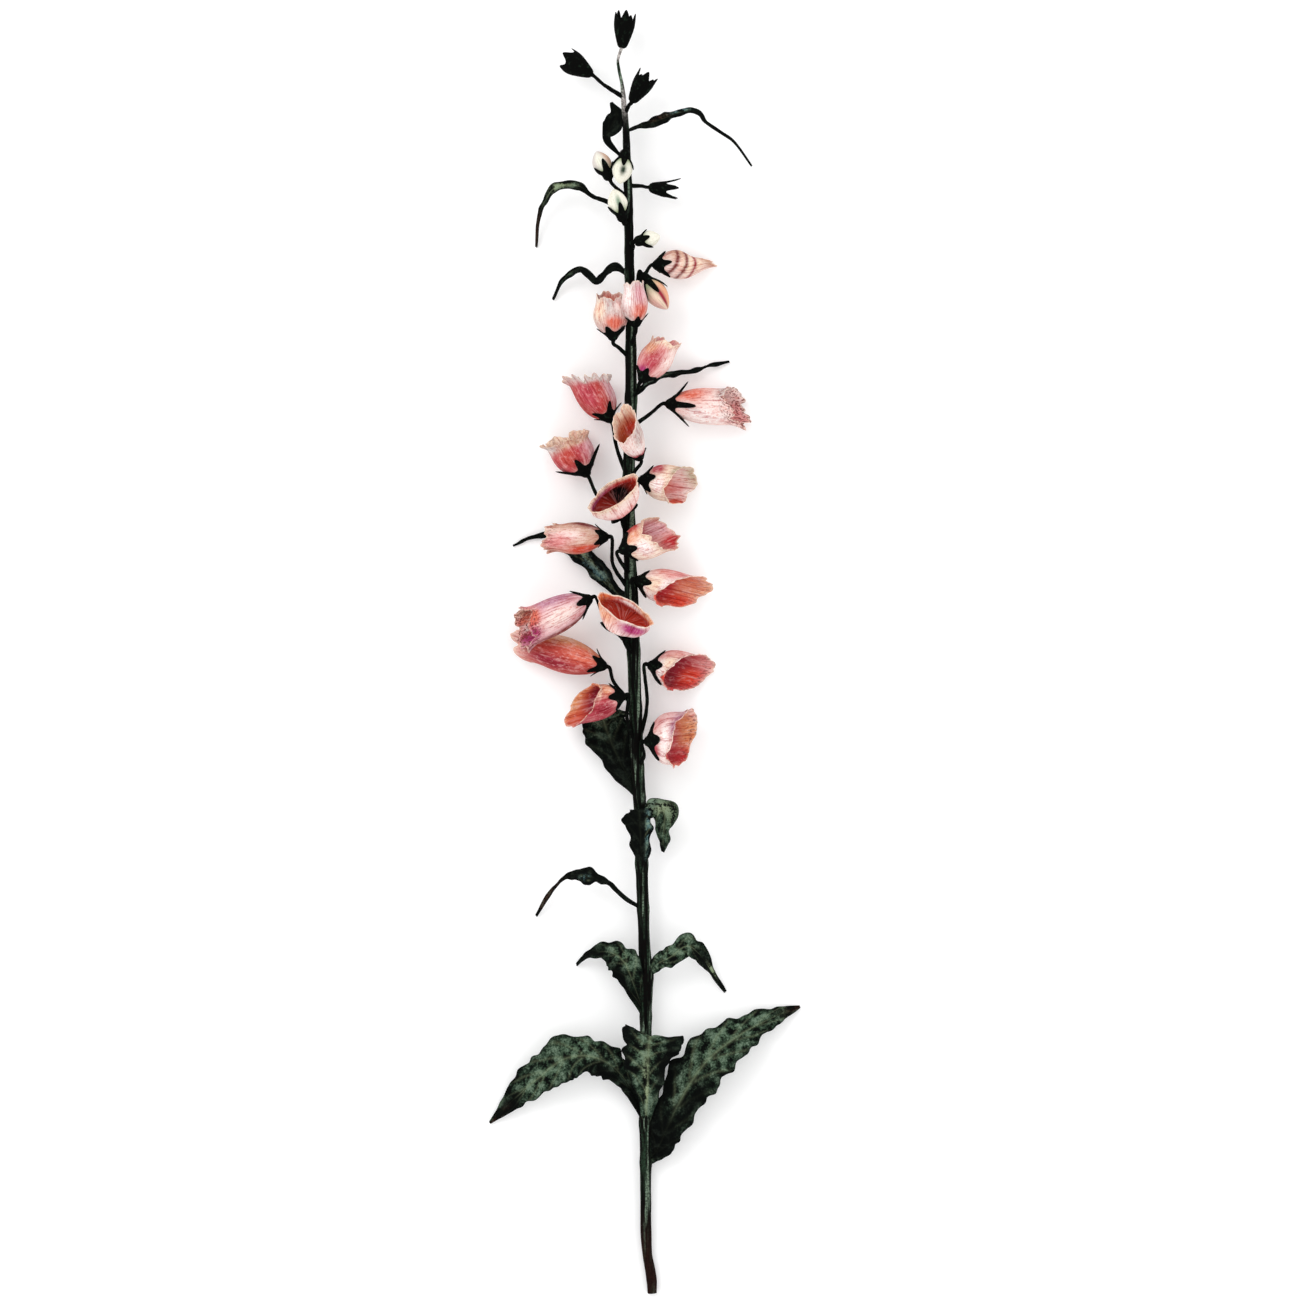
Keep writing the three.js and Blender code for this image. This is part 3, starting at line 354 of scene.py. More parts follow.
# Stalk root, stalk bend, base, tip and cup radius. An empty calyx has no bud: notch is how far up its wall is
# whole, and spread how far its points lean out. A closed bud has its own size, dye and patches.
BUDS = {
    "bud_top_left_cup": bud_row(322, (-24, 329.2, 22), (-33, 336.4, 20.5), (-46.8, 345.4, 16), 6.6,
        notch=0.72, spread=0.4),
    "bud_top_right_cup": bud_row(312, (-9, 317.6, 24.5), (-6.4, 321, 25.5), (2, 335, 24), 5.6,
        notch=0.7, spread=0.9),
    "bud_side_left": bud_row(263, (-16, 268.4, 26.4), (-21.4, 276, 26), (-28.4, 290.4, 24), 3.4,
        bud=5.6, body="ash", patches=[
            ("tan", 0.8, 0.6, 0.4, 0.3), ("milk", -0.1, 0.6, 0.5, 0.3)]),
    "bud_front_high": bud_row(295, (-10.4, 293, 28), (-11.6, 288, 31.6), (-14.6, 270.6, 32), 3.6,
        bud=6, body="milk", patches=[("moss", 0.1, 0.56, 0.3, 0.15)]),
    "bud_front_low": bud_row(246, (-11.4, 249, 28.5), (-13.2, 251.6, 31), (-18.2, 268, 31.5), 3.5,
        bud=5.8, body="milk", patches=[("sage", 0.1, 0.5, 0.25, 0.22)]),
    "bud_side_right_cup": bud_row(270.6, (-2, 270.2, 23.2), (5, 269.4, 21), (20.4, 268.2, 14), 4.2,
        notch=0.34, spread=2.6),
    "bud_small_right": bud_row(232, (-6.6, 235, 27.4), (-3.6, 238, 29), (9, 240.8, 27), 3.1,
        bud=4.8, body="milk"),
    "bud_half_open": bud_row(203, (-5, 211, 28.5), (-0.6, 217, 29.5), (13.4, 198.6, 24), 3,
        bud=6.6, body="cream", patches=[
            ("peach", 0.8, 0.6, 0.4, 0.4), ("blush", -0.7, 0.8, 0.4, 0.3), ("crimson", 0.3, 0.6, 0.2, 0.5)]),
}

DYES = {
    "white": 0xFAF4F1, "shell": 0xF4E2DC, "cream": 0xF2DFC6, "blush": 0xE9BCB2, "pink": 0xE09C9A,
    "peach": 0xE8AC8A, "apricot": 0xE09C6C, "coral": 0xDC7660, "salmon": 0xE08C6C, "orange": 0xDC7644,
    "vermilion": 0xD4553C, "rose": 0xB84A56, "brick": 0xBA4A42, "scarlet": 0xE04A34, "red": 0xC2363C,
    "crimson": 0x98283A, "magenta": 0xAE3C78, "mauve": 0xBC8AA0, "lilac": 0xE0B0B8, "tan": 0xCCA68E,
    "plum": 0x7A3836, "khaki": 0xC2B89A, "ash": 0xCCC4C0, "near_black": 0x0C0606,
    "milk": 0xF0EEE0, "ink": 0x070908, "fir": 0x14241A, "moss": 0x26382A, "fern": 0x465C48, "sage": 0x869C86,
    "lichen": 0x98A682, "slate": 0x5E8082, "umber": 0x2C1612,
}


def dye(name):
    """The linear colour of a dye."""
    parts = [((DYES[name] >> shift) & 255) / 255 for shift in (16, 8, 0)]
    return np.array([p / 12.92 if p <= 0.04045 else ((p + 0.055) / 1.055) ** 2.4 for p in parts])


# ---- helpers ----
def unit(v):
    return v / np.linalg.norm(v)


def smooth(low, high, x):
    t = np.clip((x - low) / (high - low), 0, 1)
    return t * t * (3 - 2 * t)


def pick_out(*pieces):
    """Leaves edit mode and selects these pieces only, the first of them active."""
    if bpy.context.mode != "OBJECT":
        bpy.ops.object.mode_set(mode="OBJECT")
    bpy.ops.object.select_all(action="DESELECT")
    for piece in reversed(pieces):
        piece.select_set(True)
        bpy.context.view_layer.objects.active = piece


def places(piece):
    co = np.empty(len(piece.data.vertices) * 3)
    piece.data.vertices.foreach_get("co", co)
    return co.reshape(-1, 3)


def set_places(piece, co):
    piece.data.vertices.foreach_set("co", np.asarray(co, float).ravel())
    piece.data.update()


def normals_of(piece):
    return np.array([v.normal for v in piece.data.vertices])


def give(piece, **layers):
    """Stores each layer's value for every vertex: a number, a vector or a colour."""
    for name, values in layers.items():
        kind, field = ("FLOAT", "value") if values.ndim == 1 else ("FLOAT_VECTOR", "vector")
        if name in ("paint", "lining"):
            kind, field = "FLOAT_COLOR", "color"
            values = np.hstack([values, np.ones((len(values), 1))])
        data = piece.data.attributes.new(name, kind, "POINT").data
        data.foreach_set(field, np.asarray(values, np.float32).ravel())


def taken(piece, name):
    """Reads a vector attribute back and removes it."""
    kept = piece.data.attributes[name]
    values = np.empty(len(kept.data) * 3, np.float32)
    kept.data.foreach_get("vector", values)
    piece.data.attributes.remove(kept)
    return values.reshape(-1, 3)


SMOOTHER = ("SUBSURF", dict(levels=1, render_levels=1))


def finish(piece, *steps):
    """Adds each modifier with its settings and applies it."""
    pick_out(piece)
    for kind, settings in steps:
        bpy.ops.object.modifier_add(type=kind)
        modifier = piece.modifiers[-1]
        for key, value in settings.items():
            setattr(modifier, key, value)
        bpy.ops.object.modifier_apply(modifier=modifier.name)
    bpy.ops.object.shade_smooth()


def thicken(piece, wall, **more):
    """Gives a skin its wall, inwards, and smooths it."""
    finish(piece, ("SOLIDIFY", dict(thickness=wall * MM, offset=-1, **more)), SMOOTHER)


def spline_point(points, t):
    """The point at share t of a smooth curve through all the points."""
    last = len(points) - 1
    i = min(int(t * last), last - 1)
    w = t * last - i
    p1, p2 = points[i], points[i + 1]
    p0 = points[i - 1] if i > 0 else 2 * p1 - p2
    p3 = points[i + 2] if i + 2 <= last else 2 * p2 - p1
    d0, d1, d2 = (max(np.linalg.norm(b - a), 1e-6) ** 0.5 for a, b in ((p0, p1), (p1, p2), (p2, p3)))
    m1 = ((p1 - p0) / d0 - (p2 - p0) / (d0 + d1) + (p2 - p1) / d1) * d1
    m2 = ((p2 - p1) / d1 - (p3 - p1) / (d1 + d2) + (p3 - p2) / d2) * d1
    return p1 + m1 * w + (-3 * p1 + 3 * p2 - 2 * m1 - m2) * w**2 + (2 * p1 - 2 * p2 + m1 + m2) * w**3


class Spine:
    """Points along a curve with a side and an outward way at each, turned as little as possible."""

    def __init__(self, rows, steps):
        rows = np.array(rows, float)
        share = np.linspace(0, 1, steps + 1)
        self.share = share
        self.at = np.array([spline_point(rows[:, :3], t) for t in share])
        self.width = np.interp(share, np.linspace(0, 1, len(rows)), rows[:, 3])
        kernel = np.array([0.25, 0.5, 0.25])
        self.width[1:-1] = np.convolve(self.width, kernel, "same")[1:-1]
        tangents = np.gradient(self.at, axis=0)
        self.along = tangents / np.linalg.norm(tangents, axis=1)[:, None]
        side = unit(np.cross(UP, self.along[0]))
        sides = []
        for along in self.along:
            side = unit(side - along * side.dot(along))
            sides.append(side)
        self.side = np.array(sides)
        self.out = np.cross(self.along, self.side)

    def pick(self, values, t):
        """A value of the spine at every share in t."""
        values = np.asarray(values)
        if values.ndim == 1:
            return np.interp(t, self.share, values)
        return np.stack([np.interp(t, self.share, values[:, k]) for k in range(values.shape[1])], axis=1)


class Axis:
    """The line from a flower's base to its mouth, and the way that its long lip points."""

    def __init__(self, base, tip, lip, flat=1, cut=0, slant=None):
        self.at = np.array(base, float)
        reach = np.array(tip, float) - self.at
        self.length = np.linalg.norm(reach)
        self.along = reach / self.length
        if slant is not None:
            self.length *= (1 + cut) / (1 + slant)
            cut = slant
        lip = np.array(lip, float)
        self.lip = unit(lip - self.along * lip.dot(self.along))
        self.side = np.cross(self.along, self.lip)
        self.flat, self.cut = flat, cut

    def put(self, radius, height, angle):
        flat = 1 - (1 - self.flat) * smooth(0, 0.7, height / self.length)
        return (self.at + np.outer(height, self.along) + np.outer(radius * flat * np.cos(angle), self.lip)
            + np.outer(radius * np.sin(angle), self.side))

    def across(self, angle):
        """How far towards the tip of the spike each angle lies, or to the right on an upright flower."""
        level = unit(np.cross(self.along, UP))
        if level[1] < -0.5 or (abs(level[1]) <= 0.5 and level[0] < 0):
            level = -level
        return np.cos(angle) * self.lip.dot(level) + np.sin(angle) * self.side.dot(level)


def tube(name, rows, sides, steps):
    """A round solid tube along rows of x, y, z, radius."""
    spine = Spine(rows, steps)
    data = bpy.data.curves.new(name, "CURVE")
    data.dimensions = "3D"
    data.bevel_depth = MM
    data.bevel_resolution = sides // 4 - 1
    data.use_fill_caps = True
    line = data.splines.new("POLY")
    line.points.add(steps)
    for point, at, radius in zip(line.points, spine.at, spine.width):
        point.co = (*(at * MM), 1)
        point.radius = radius
    pick_out(added(name, data))
    bpy.ops.object.convert(target="MESH")
    bpy.ops.object.shade_smooth()
    return bpy.context.object


def stem_at(y):
    return np.array([np.interp(y, [row[1] for row in STEM], [row[k] for row in STEM]) for k in range(3)])


# ---- materials ----
class Finish:
    """A surface finish made of nodes."""

    def __init__(self, name, roughness, gloss, sheen=0):
        self.material = bpy.data.materials.new(name)
        self.material.use_nodes = True
        self.tree = self.material.node_tree
        self.shader = self.tree.nodes["Principled BSDF"]
        set_inputs(self.shader, Roughness=roughness, Specular_IOR_Level=gloss, Sheen_Weight=sheen)
        self.place = self.node("TexCoord").outputs["Object"]

    def feed(self, socket, value):
        if isinstance(value, bpy.types.NodeSocket):
            self.tree.links.new(value, socket)
        else:
            socket.default_value = (*dye(value), 1) if isinstance(value, str) else value

    def node(self, kind, settings=None, **inputs):
        made = self.tree.nodes.new("ShaderNode" + kind)
        for key, value in (settings or {}).items():
            setattr(made, key, value)
        for key, value in inputs.items():
            self.feed(made.inputs[key.replace("_", " ")], value)
        return made

    def kept(self, name, output):
        return self.node("Attribute", {"attribute_name": name}).outputs[output]

    def grain(self, source, scale, detail, rough, stretch=(1, 1, 1)):
        mapped = self.node("Mapping", Vector=source, Scale=stretch).outputs["Vector"]
        made = self.node("TexNoise", Vector=mapped, Scale=scale, Detail=detail, Roughness=rough)
        return made.outputs["Fac"]

    def range(self, value, low, high, to_low=0, to_high=1):
        made = self.node("MapRange", Value=value)
        made.interpolation_type = "SMOOTHSTEP"
        set_inputs(made, From_Min=low, From_Max=high, To_Min=to_low, To_Max=to_high)
        return made.outputs["Result"]

    def mix(self, share, first, second, way="MIX"):
        made = self.node("MixRGB", {"blend_type": way}, Fac=share, Color1=first, Color2=second)
        return made.outputs["Color"]

    def stain(self, tone, pattern, limits, colour, way="MIX"):
        """Lays a colour over a tone as far as a pattern lies between its limits."""
        return self.mix(self.range(pattern, *limits), tone, colour, way)

    def times(self, first, second):
        made = self.node("Math", {"operation": "MULTIPLY"})
        self.feed(made.inputs[0], first)
        self.feed(made.inputs[1], second)
        return made.outputs["Value"]

    def bump(self, height, strength, distance):
        made = self.node("Bump", Height=height, Strength=strength, Distance=distance)
        self.feed(self.shader.inputs["Normal"], made.outputs["Normal"])

    def colour(self, value):
        self.feed(self.shader.inputs["Base Color"], value)


def silk_petal(name, paint):
    """Silk: painted colours with painted light and shade in them, under clouds, blotches and streaks to the
    lip, freckles and a pale hem.
    """
    silk = Finish(name, roughness=0.7, gloss=0.12, sheen=0.03)
    grain = silk.kept("grain", "Vector")
    tone = silk.kept(paint, "Color")
    pale = silk.range(silk.node("SeparateColor", Color=tone).outputs["Green"], 0.03, 0.4, 0.3, 1)
    cloud = silk.grain(grain, 1, 4, 0.62, (3, 3, 4))
    tone = silk.stain(tone, cloud, (0.5, 0.68, 0, 0.5), "pink", "MULTIPLY")
    fleck = silk.mix(pale, "pink", "shell")
    tone = silk.stain(tone, cloud, (0.34, 0.47, 0.34, 0), fleck)
    blotch = silk.grain(grain, 1, 4, 0.65, (8, 8, 9))
    tone = silk.stain(tone, blotch, (0.53, 0.66, 0, 0.55), "coral", "MULTIPLY")
    tone = silk.stain(tone, blotch, (0.34, 0.45, 0.42, 0), fleck)
    streak = silk.grain(grain, 1, 4, 0.6, (10, 10, 1.4))
    tone = silk.stain(tone, streak, (0.53, 0.64, 0, 0.6), "rose", "MULTIPLY")
    tone = silk.stain(tone, streak, (0.34, 0.44, 0.3, 0), fleck)
    speck = silk.grain(grain, 1, 3, 0.6, (12, 12, 22))
    tone = silk.mix(silk.times(silk.kept("hem", "Fac"), silk.range(speck, 0.4, 0.56)), tone, "cream")
    freckle = silk.times(silk.range(speck, 0.52, 0.58), silk.kept("freckles", "Fac"))
    tone = silk.mix(freckle, tone, "plum")
    weave = silk.grain(silk.place, 1500, 2, 0.5)
    tone = silk.stain(tone, weave, (0.3, 0.7, 0.18, 0), "coral", "MULTIPLY")
    silk.colour(tone)
    silk.bump(silk.mix(0.4, blotch, weave), 0.45, 0.0008)
    return silk.material


def silk_leaf():
    """Puckered leaf cloth: near black painted shade in the hollows, dark green slopes and a few grey green
    painted highlights on the crests.
    """
    leaf = Finish("leaf_cloth", roughness=0.88, gloss=0.04)
    tone = leaf.kept("paint", "Color")
    mottle = leaf.grain(leaf.place, 820, 5, 0.72)
    # painted shade and highlight: near black where relief is low, grey green on the blade's high crests,
    # mixed with random mottling
    relief = leaf.mix(0.3, mottle, leaf.kept("crest", "Fac"))
    cloth = leaf.mix(leaf.range(relief, 0.42, 0.57), "ink", tone)
    crest = leaf.times(leaf.range(relief, 0.51, 0.72, 0, 0.72), leaf.kept("glow", "Fac"))
    cloth = leaf.mix(crest, cloth, "sage")
    cloth = leaf.mix(leaf.times(leaf.kept("veins", "Fac"), leaf.kept("glow", "Fac")), cloth, "lichen")
    cloth = leaf.mix(leaf.kept("rim", "Fac"), cloth, "ink")
    fine = leaf.grain(leaf.place, 1700, 2, 0.6)
    cloth = leaf.stain(cloth, fine, (0.3, 0.7, 0.3, 0), "ink")
    leaf.colour(cloth)
    leaf.bump(leaf.mix(0.35, mottle, fine), 0.6, 0.0012)
    return leaf.material


def stem_bark():
    """Near black with grey green streaks and painted highlight streaks, a painted highlight where the top is
    lit, and a purple brown foot.
    """
    bark = Finish("stem_skin", roughness=0.85, gloss=0.04)
    streak = bark.grain(bark.place, 1, 4, 0.62, (480, 22, 480))
    skin = bark.mix(bark.range(streak, 0.5, 0.64), "ink", "moss")
    # painted highlights: sage streaks where light catches the stem, and ash on its lit top where pale is set
    lit = bark.grain(bark.place, 1, 3, 0.55, (330, 10, 330))
    skin = bark.stain(skin, lit, (0.55, 0.66, 0, 0.7), "sage")
    skin = bark.mix(bark.kept("pale", "Fac"), skin, "ash")
    skin = bark.mix(bark.kept("foot", "Fac"), skin, "umber")
    scar = bark.grain(bark.place, 900, 3, 0.6)
    skin = bark.stain(skin, scar, (0.4, 0.6, 0.7, 0), "near_black")
    bark.colour(skin)
    bark.bump(bark.mix(0.5, streak, scar), 0.5, 0.001)
    return bark.material


def sepal_skin():
    """Almost black green with dull moss on the ridges."""
    skin = Finish("sepal_skin", roughness=0.85, gloss=0.03)
    streak = skin.grain(skin.place, 420, 4, 0.65)
    tone = skin.mix(skin.range(streak, 0.56, 0.7, 0, 0.6), "ink", "moss")
    fine = skin.grain(skin.place, 1600, 2, 0.6)
    tone = skin.stain(tone, fine, (0.3, 0.6, 0.5, 0), "near_black")
    skin.colour(tone)
    skin.bump(skin.mix(0.5, streak, fine), 0.5, 0.0008)
    return skin.material


def bud_skin():
    """Milky bud: its own dye, faint green streaks and a fine grain."""
    skin = Finish("bud_skin", roughness=0.6, gloss=0.15)
    grain = skin.kept("grain", "Vector")
    tone = skin.kept("paint", "Color")
    streak = skin.grain(grain, 1, 3, 0.6, (5, 5, 1.6))
    tone = skin.stain(tone, streak, (0.5, 0.68, 0, 0.35), "lichen", "MULTIPLY")
    fine = skin.grain(skin.place, 1300, 2, 0.6)
    tone = skin.stain(tone, fine, (0.3, 0.6, 0.2, 0), "tan", "MULTIPLY")
    skin.colour(tone)
    skin.bump(skin.mix(0.5, streak, fine), 0.3, 0.0006)
    return skin.material


# ---- masters ----
BELL_AROUND = 72
BELL_RINGS = (0, 0.03, 0.07, 0.12, 0.17, 0.23, 0.29, 0.35, 0.42, 0.49, 0.56, 0.63, 0.69, 0.75, 0.8, 0.845,
    0.885, 0.92, 0.95, 0.975, 0.99, 1)
CALYX_AROUND = 50
CALYX_RINGS = 14
PATCH_STRENGTH = 1.35  # above 1 a patch has a full middle


def ring_stack(name, around, heights):
    """A closed disc of radius 1, and a wall pulled up from its edge ring by ring."""
    pick_out()
    bpy.ops.mesh.primitive_circle_add(vertices=around, radius=1, fill_type="TRIFAN")
    piece = bpy.context.object
    piece.name = name
    bpy.ops.object.mode_set(mode="EDIT")
    bpy.ops.mesh.select_all(action="DESELECT")
    bpy.ops.mesh.select_mode(type="EDGE")
    bpy.ops.mesh.select_non_manifold(extend=False)
    for low, high in zip(heights, heights[1:]):
        bpy.ops.mesh.extrude_region_move(TRANSFORM_OT_translate={"value": (0, 0, high - low)})
    bpy.ops.mesh.select_all(action="SELECT")
    bpy.ops.mesh.normals_make_consistent(inside=False)
    bpy.ops.object.mode_set(mode="OBJECT")
    return piece


def polar(piece):
    """Share of the radius, height and angle of each vertex of a ring stack."""
    co = places(piece)
    return np.hypot(co[:, 0], co[:, 1]), co[:, 2], np.arctan2(co[:, 1], co[:, 0])


def painted(body, patches, across, share):
    """A body colour with its patches, at every vertex."""
    tone = np.tile(dye(body), (len(share), 1))
    for name, at_across, at_share, wide, long, *slant in patches:
        off = across - at_across
        along = share - at_share - (slant[0] * off if slant else 0)
        weight = np.exp(-((off / wide) ** 2) - (along / long) ** 2)
        weight = np.clip(PATCH_STRENGTH * weight, 0, 1)[:, None]
        tone = tone * (1 - weight) + dye(name) * weight
    return tone


# ---- flowers ----
def bell_radius(s, mouth):
    swell = (1 - np.exp(-BELL_OPENING * s)) / (1 - math.exp(-BELL_OPENING))
    belly = BELL_BELLY * mouth * np.sin(math.pi * np.clip(s, 0, 1))
    return NECK + (mouth * BELL_MOUTH - NECK) * swell + belly + BELL_FLARE * mouth * smooth(0.82, 1.02, s)


def waves(rng, angle, counts):
    """A few waves round the mouth, each with its own strength and start."""
    each = [rng.normal() * np.sin(n * angle + rng.uniform(0, 2 * math.pi)) for n in counts]
    return sum(each) / len(counts) ** 0.5


def bell_places(part, s, angle, axis, spec, seed):
    """Where each point of a bell goes, with its seams, lobes, waves and frilled lip."""
    rng = np.random.default_rng(seed)
    mouth, frill = spec["radius"], spec["frill"]
    rim = smooth(0.72, 1, s)
    edge = smooth(0.84, 1, s)
    lobe = np.abs(np.cos(LOBES / 2 * angle)) ** 0.7 * 2 - 1
    middle = np.sin(math.pi * np.clip(s, 0, 1))
    radius = bell_radius(s, mouth) * (1 + 0.07 * np.cos(angle) * middle) * (1 + 0.05 * rim * lobe)
    radius *= 1 - spec["taper"] * smooth(0.45, 1.1, s)
    seam = np.abs(np.sin(LOBES / 2 * angle)) ** 6
    radius += 0.03 * mouth * middle * waves(rng, angle, (2, 3, 5)) - 0.016 * mouth * middle * seam * 2
    radius += edge * frill * (0.6 * waves(rng, angle, (5, 8, 13, 19)) + 0.3 * smooth(0.93, 1, s))
    height = s * axis.length + axis.length * axis.cut * np.cos(angle) * s * s
    height += 0.055 * axis.length * rim * lobe + edge * frill * 0.75 * waves(rng, angle, (6, 9, 14))
    height += smooth(0.9, 1, s) * frill * 0.34 * waves(rng, angle, (17, 24, 31))
    return axis.put(radius * part, height, angle)


def flower_axis(spec, master, seed):
    """The line of a flower. A resting mouth sinks until its lip lies on the surface."""
    tip = list(spec["mouth"])
    rests = len(tip) < 3
    if rests:
        tip.append(spec["radius"] + 2)
    line = lambda: Axis(spec["base"], tip, *(spec[key] for key in ("lip", "flat", "cut", "slant")))
    part, height, angle = polar(master)
    for _ in range(12 if rests else 0):
        low = bell_places(part, height, angle, line(), spec, seed)[:, 2].min()
        tip[2] -= low - FLOOR_CLEAR - BELL_WALL / 2
    tip[2] += spec["lift"]
    return line()


def bell(name, master, spec, axis, seed, outer, inner):
    piece = added(name, master.data.copy())
    part, share, angle = polar(master)
    set_places(piece, bell_places(part, share, angle, axis, spec, seed) * MM)
    give(piece, around=np.stack([np.cos(angle), np.sin(angle), share], axis=1))
    piece.data.materials.append(outer)
    piece.data.materials.append(inner)
    thicken(piece, BELL_WALL, material_offset=1, material_offset_rim=0)

    around = taken(piece, "around")
    angle, share = np.arctan2(around[:, 1], around[:, 0]), around[:, 2]
    across = axis.across(angle)
    # painted shade: the lining is darker deeper in the throat, where less light reaches
    painted_throat_shade = 0.8 + 0.2 * smooth(0.25, 0.7, share)[:, None]
    give(piece, paint=painted(spec["body"], spec["outside"], across, share),
        lining=painted(spec["lining"], spec["inside"], across, share) * painted_throat_shade,
        hem=0.75 * smooth(0.955, 0.995, share),
        grain=around * (1, 1, axis.length / PETAL_GRAIN) + seed * 3.7,
        freckles=spec["spots"] * smooth(0.74, 0.95, share) * 0.8)
    return piece


def calyx(name, master, axis, inside, seed, sepal, notch, skin, root, bend):
    """Five pointed sepals on a cup; inside(height) is the clear radius of what it holds."""
    rng = np.random.default_rng(SEPAL_SEED + seed)
    piece = added(name, master.data.copy())
    part, ring, angle = polar(master)
    length, spread, slim = sepal
    which = np.round(angle / (2 * math.pi / LOBES)).astype(int) % LOBES
    longer = 1 + 0.22 * rng.normal(size=LOBES)[which].clip(-1.2, 1.2)
    looser = 1 + 0.35 * rng.normal(size=LOBES)[which].clip(-1.2, 1.2)
    point = (0.5 + 0.5 * np.cos(LOBES * angle)) ** slim
    cup = [(1.3, -CALYX_DEPTH), (2.3, -CALYX_DEPTH + 0.5), (2.9, -CALYX_DEPTH + 1.5), (3.2, -0.7)]
    up = np.clip((ring - 3) / (CALYX_RINGS - 4), 0, 1)
    height = notch * smooth(0, 0.16, up) + up * (length - notch) * longer * (0.06 + 0.94 * point)
    free = np.clip((height - notch) / max(length - notch, 0.1), 0, 1.3)
    radius = inside(np.maximum(height, 0)) + CALYX_CLEAR + spread * looser * free**1.5 * point
    for k, (cup_radius, cup_height) in enumerate(cup):
        here = np.isclose(ring, k)
        radius[here] = cup_radius
        height[here] = cup_height
    ripple = 0.12 * waves(rng, angle, (5, 10, 15)) * np.clip(up * 3, 0, 1)
    set_places(piece, axis.put((radius + ripple) * part, height, angle) * MM)
    piece.data.materials.append(skin)
    thicken(piece, CALYX_WALL)
    if root is None:
        return piece
    before = [axis.at - axis.along * distance for distance in (CALYX_DEPTH + 1.6, CALYX_DEPTH - 0.9)]
    rows = [(*stem_at(root), STALK_FOOT), (*bend, STALK_RADIUS), (*before[0], STALK_RADIUS),
        (*before[1], STALK_FOOT)]
    stalk = tube(name + "_stalk", rows, *STALK_MESH)
    co = places(stalk)
    rough = np.array([noise.noise(Vector(p) * 420) for p in co])
    set_places(stalk, co + normals_of(stalk) * rough[:, None] * ROUGHNESS * MM)
    stalk.data.materials.append(skin)
    pick_out(piece, stalk)
    bpy.ops.object.join()
    return piece


# ---- leaves ----
LEAF_GRAIN = 1.15  # one row of the blade for so many millimetres


def lumps(across, along, size, seed):
    """Soft random lumps of a size in millimetres, mostly between -1 and 1."""
    spots = zip(across / size, along / size)
    return np.array([noise.noise(Vector((x, y, seed * 7.3))) for x, y in spots]) * 2


def ripples(rng, share, counts):
    """Random waves along a blade, one for each count."""
    return [rng.uniform(0.6, 1) * np.sin(share * n + rng.uniform(0, 6.3)) for n in counts]


def leaf_places(across, share, spec, rows, seed):
    """Where each point of a blade goes, and how strongly veins and crests show there."""
    rng = np.random.default_rng(LEAF_SEED + seed)
    spine = Spine(rows, 120)
    length = np.linalg.norm(np.diff(spine.at, axis=0), axis=1).sum()
    turn = math.radians(spec["roll"])
    side = spine.side * math.cos(turn) + spine.out * math.sin(turn)
    out = spine.out * math.cos(turn) - spine.side * math.sin(turn)
    half = np.maximum(spine.pick(spine.width, share), 0.8) / 2
    beats = [length / pitch * math.pi for pitch in (9.5, 6.1, 17)]
    teeth = [sum(np.abs(wave) for wave in ripples(rng, share, beats)) / 2 - 0.6 for _ in range(2)]
    scallop = np.where(across < 0, *teeth)
    tooth = np.minimum(0.22 * half, 2.2) * smooth(0.06, 0.2, share) * (1 - 0.6 * smooth(0.85, 1, share))
    along = share * length
    ragged = lumps(np.sign(across) * 40, along, 7, seed) * spec["knots"]
    half = half + (tooth * scallop + half * ragged * smooth(0.03, 0.12, share)) * np.abs(across) ** 2
    veins, relief = leaf_veins(across, share, spec["veins"])
    wide = across * half
    crest = lumps(wide, along, 4.4, seed) + 0.5 * lumps(wide, along, 2, seed + 50)
    puckers = 0.04 * np.clip(half, 2, 14) * relief
    puckers = puckers + 0.6 * crest * smooth(1, 6, half) * smooth(0.03, 0.15, share)
    wavy = [sum(ripples(rng, share, counts)) for counts in ((17, 29, 41), (19, 27, 43))]
    wavy = np.where(across < 0, *wavy) / 3
    rise = spec["fold"] * np.abs(across) * half + 0.2 * half * wavy * np.abs(across) ** 2.2
    rise = rise + puckers * (1 - np.abs(across) ** 6) - 0.5 * veins * smooth(0, 0.1, share)
    spot = spine.pick(spine.at, share) + spine.pick(side, share) * wide[:, None]
    return spot + spine.pick(out, share) * rise[:, None], veins, crest


def leaf_veins(across, share, count):
    """How strongly a midrib or side vein shows at each place, and the puckers between the veins."""
    reach = np.abs(across)
    midrib = np.exp(-((across / 0.075) ** 2))
    phase = share * count - reach**0.9 * 1.5
    gap = np.abs(phase - np.round(phase))
    side = np.exp(-((gap / 0.07) ** 2)) * smooth(0.02, 0.16, reach) * (1 - smooth(0.8, 1, reach))
    pucker = np.sin(math.pi * np.clip(gap * 2, 0, 1)) * (0.7 + 0.3 * np.cos(reach * 16))
    return np.maximum(midrib, 0.8 * side) * (1 - smooth(0.9, 1, share)), pucker * smooth(0.02, 0.3, reach)


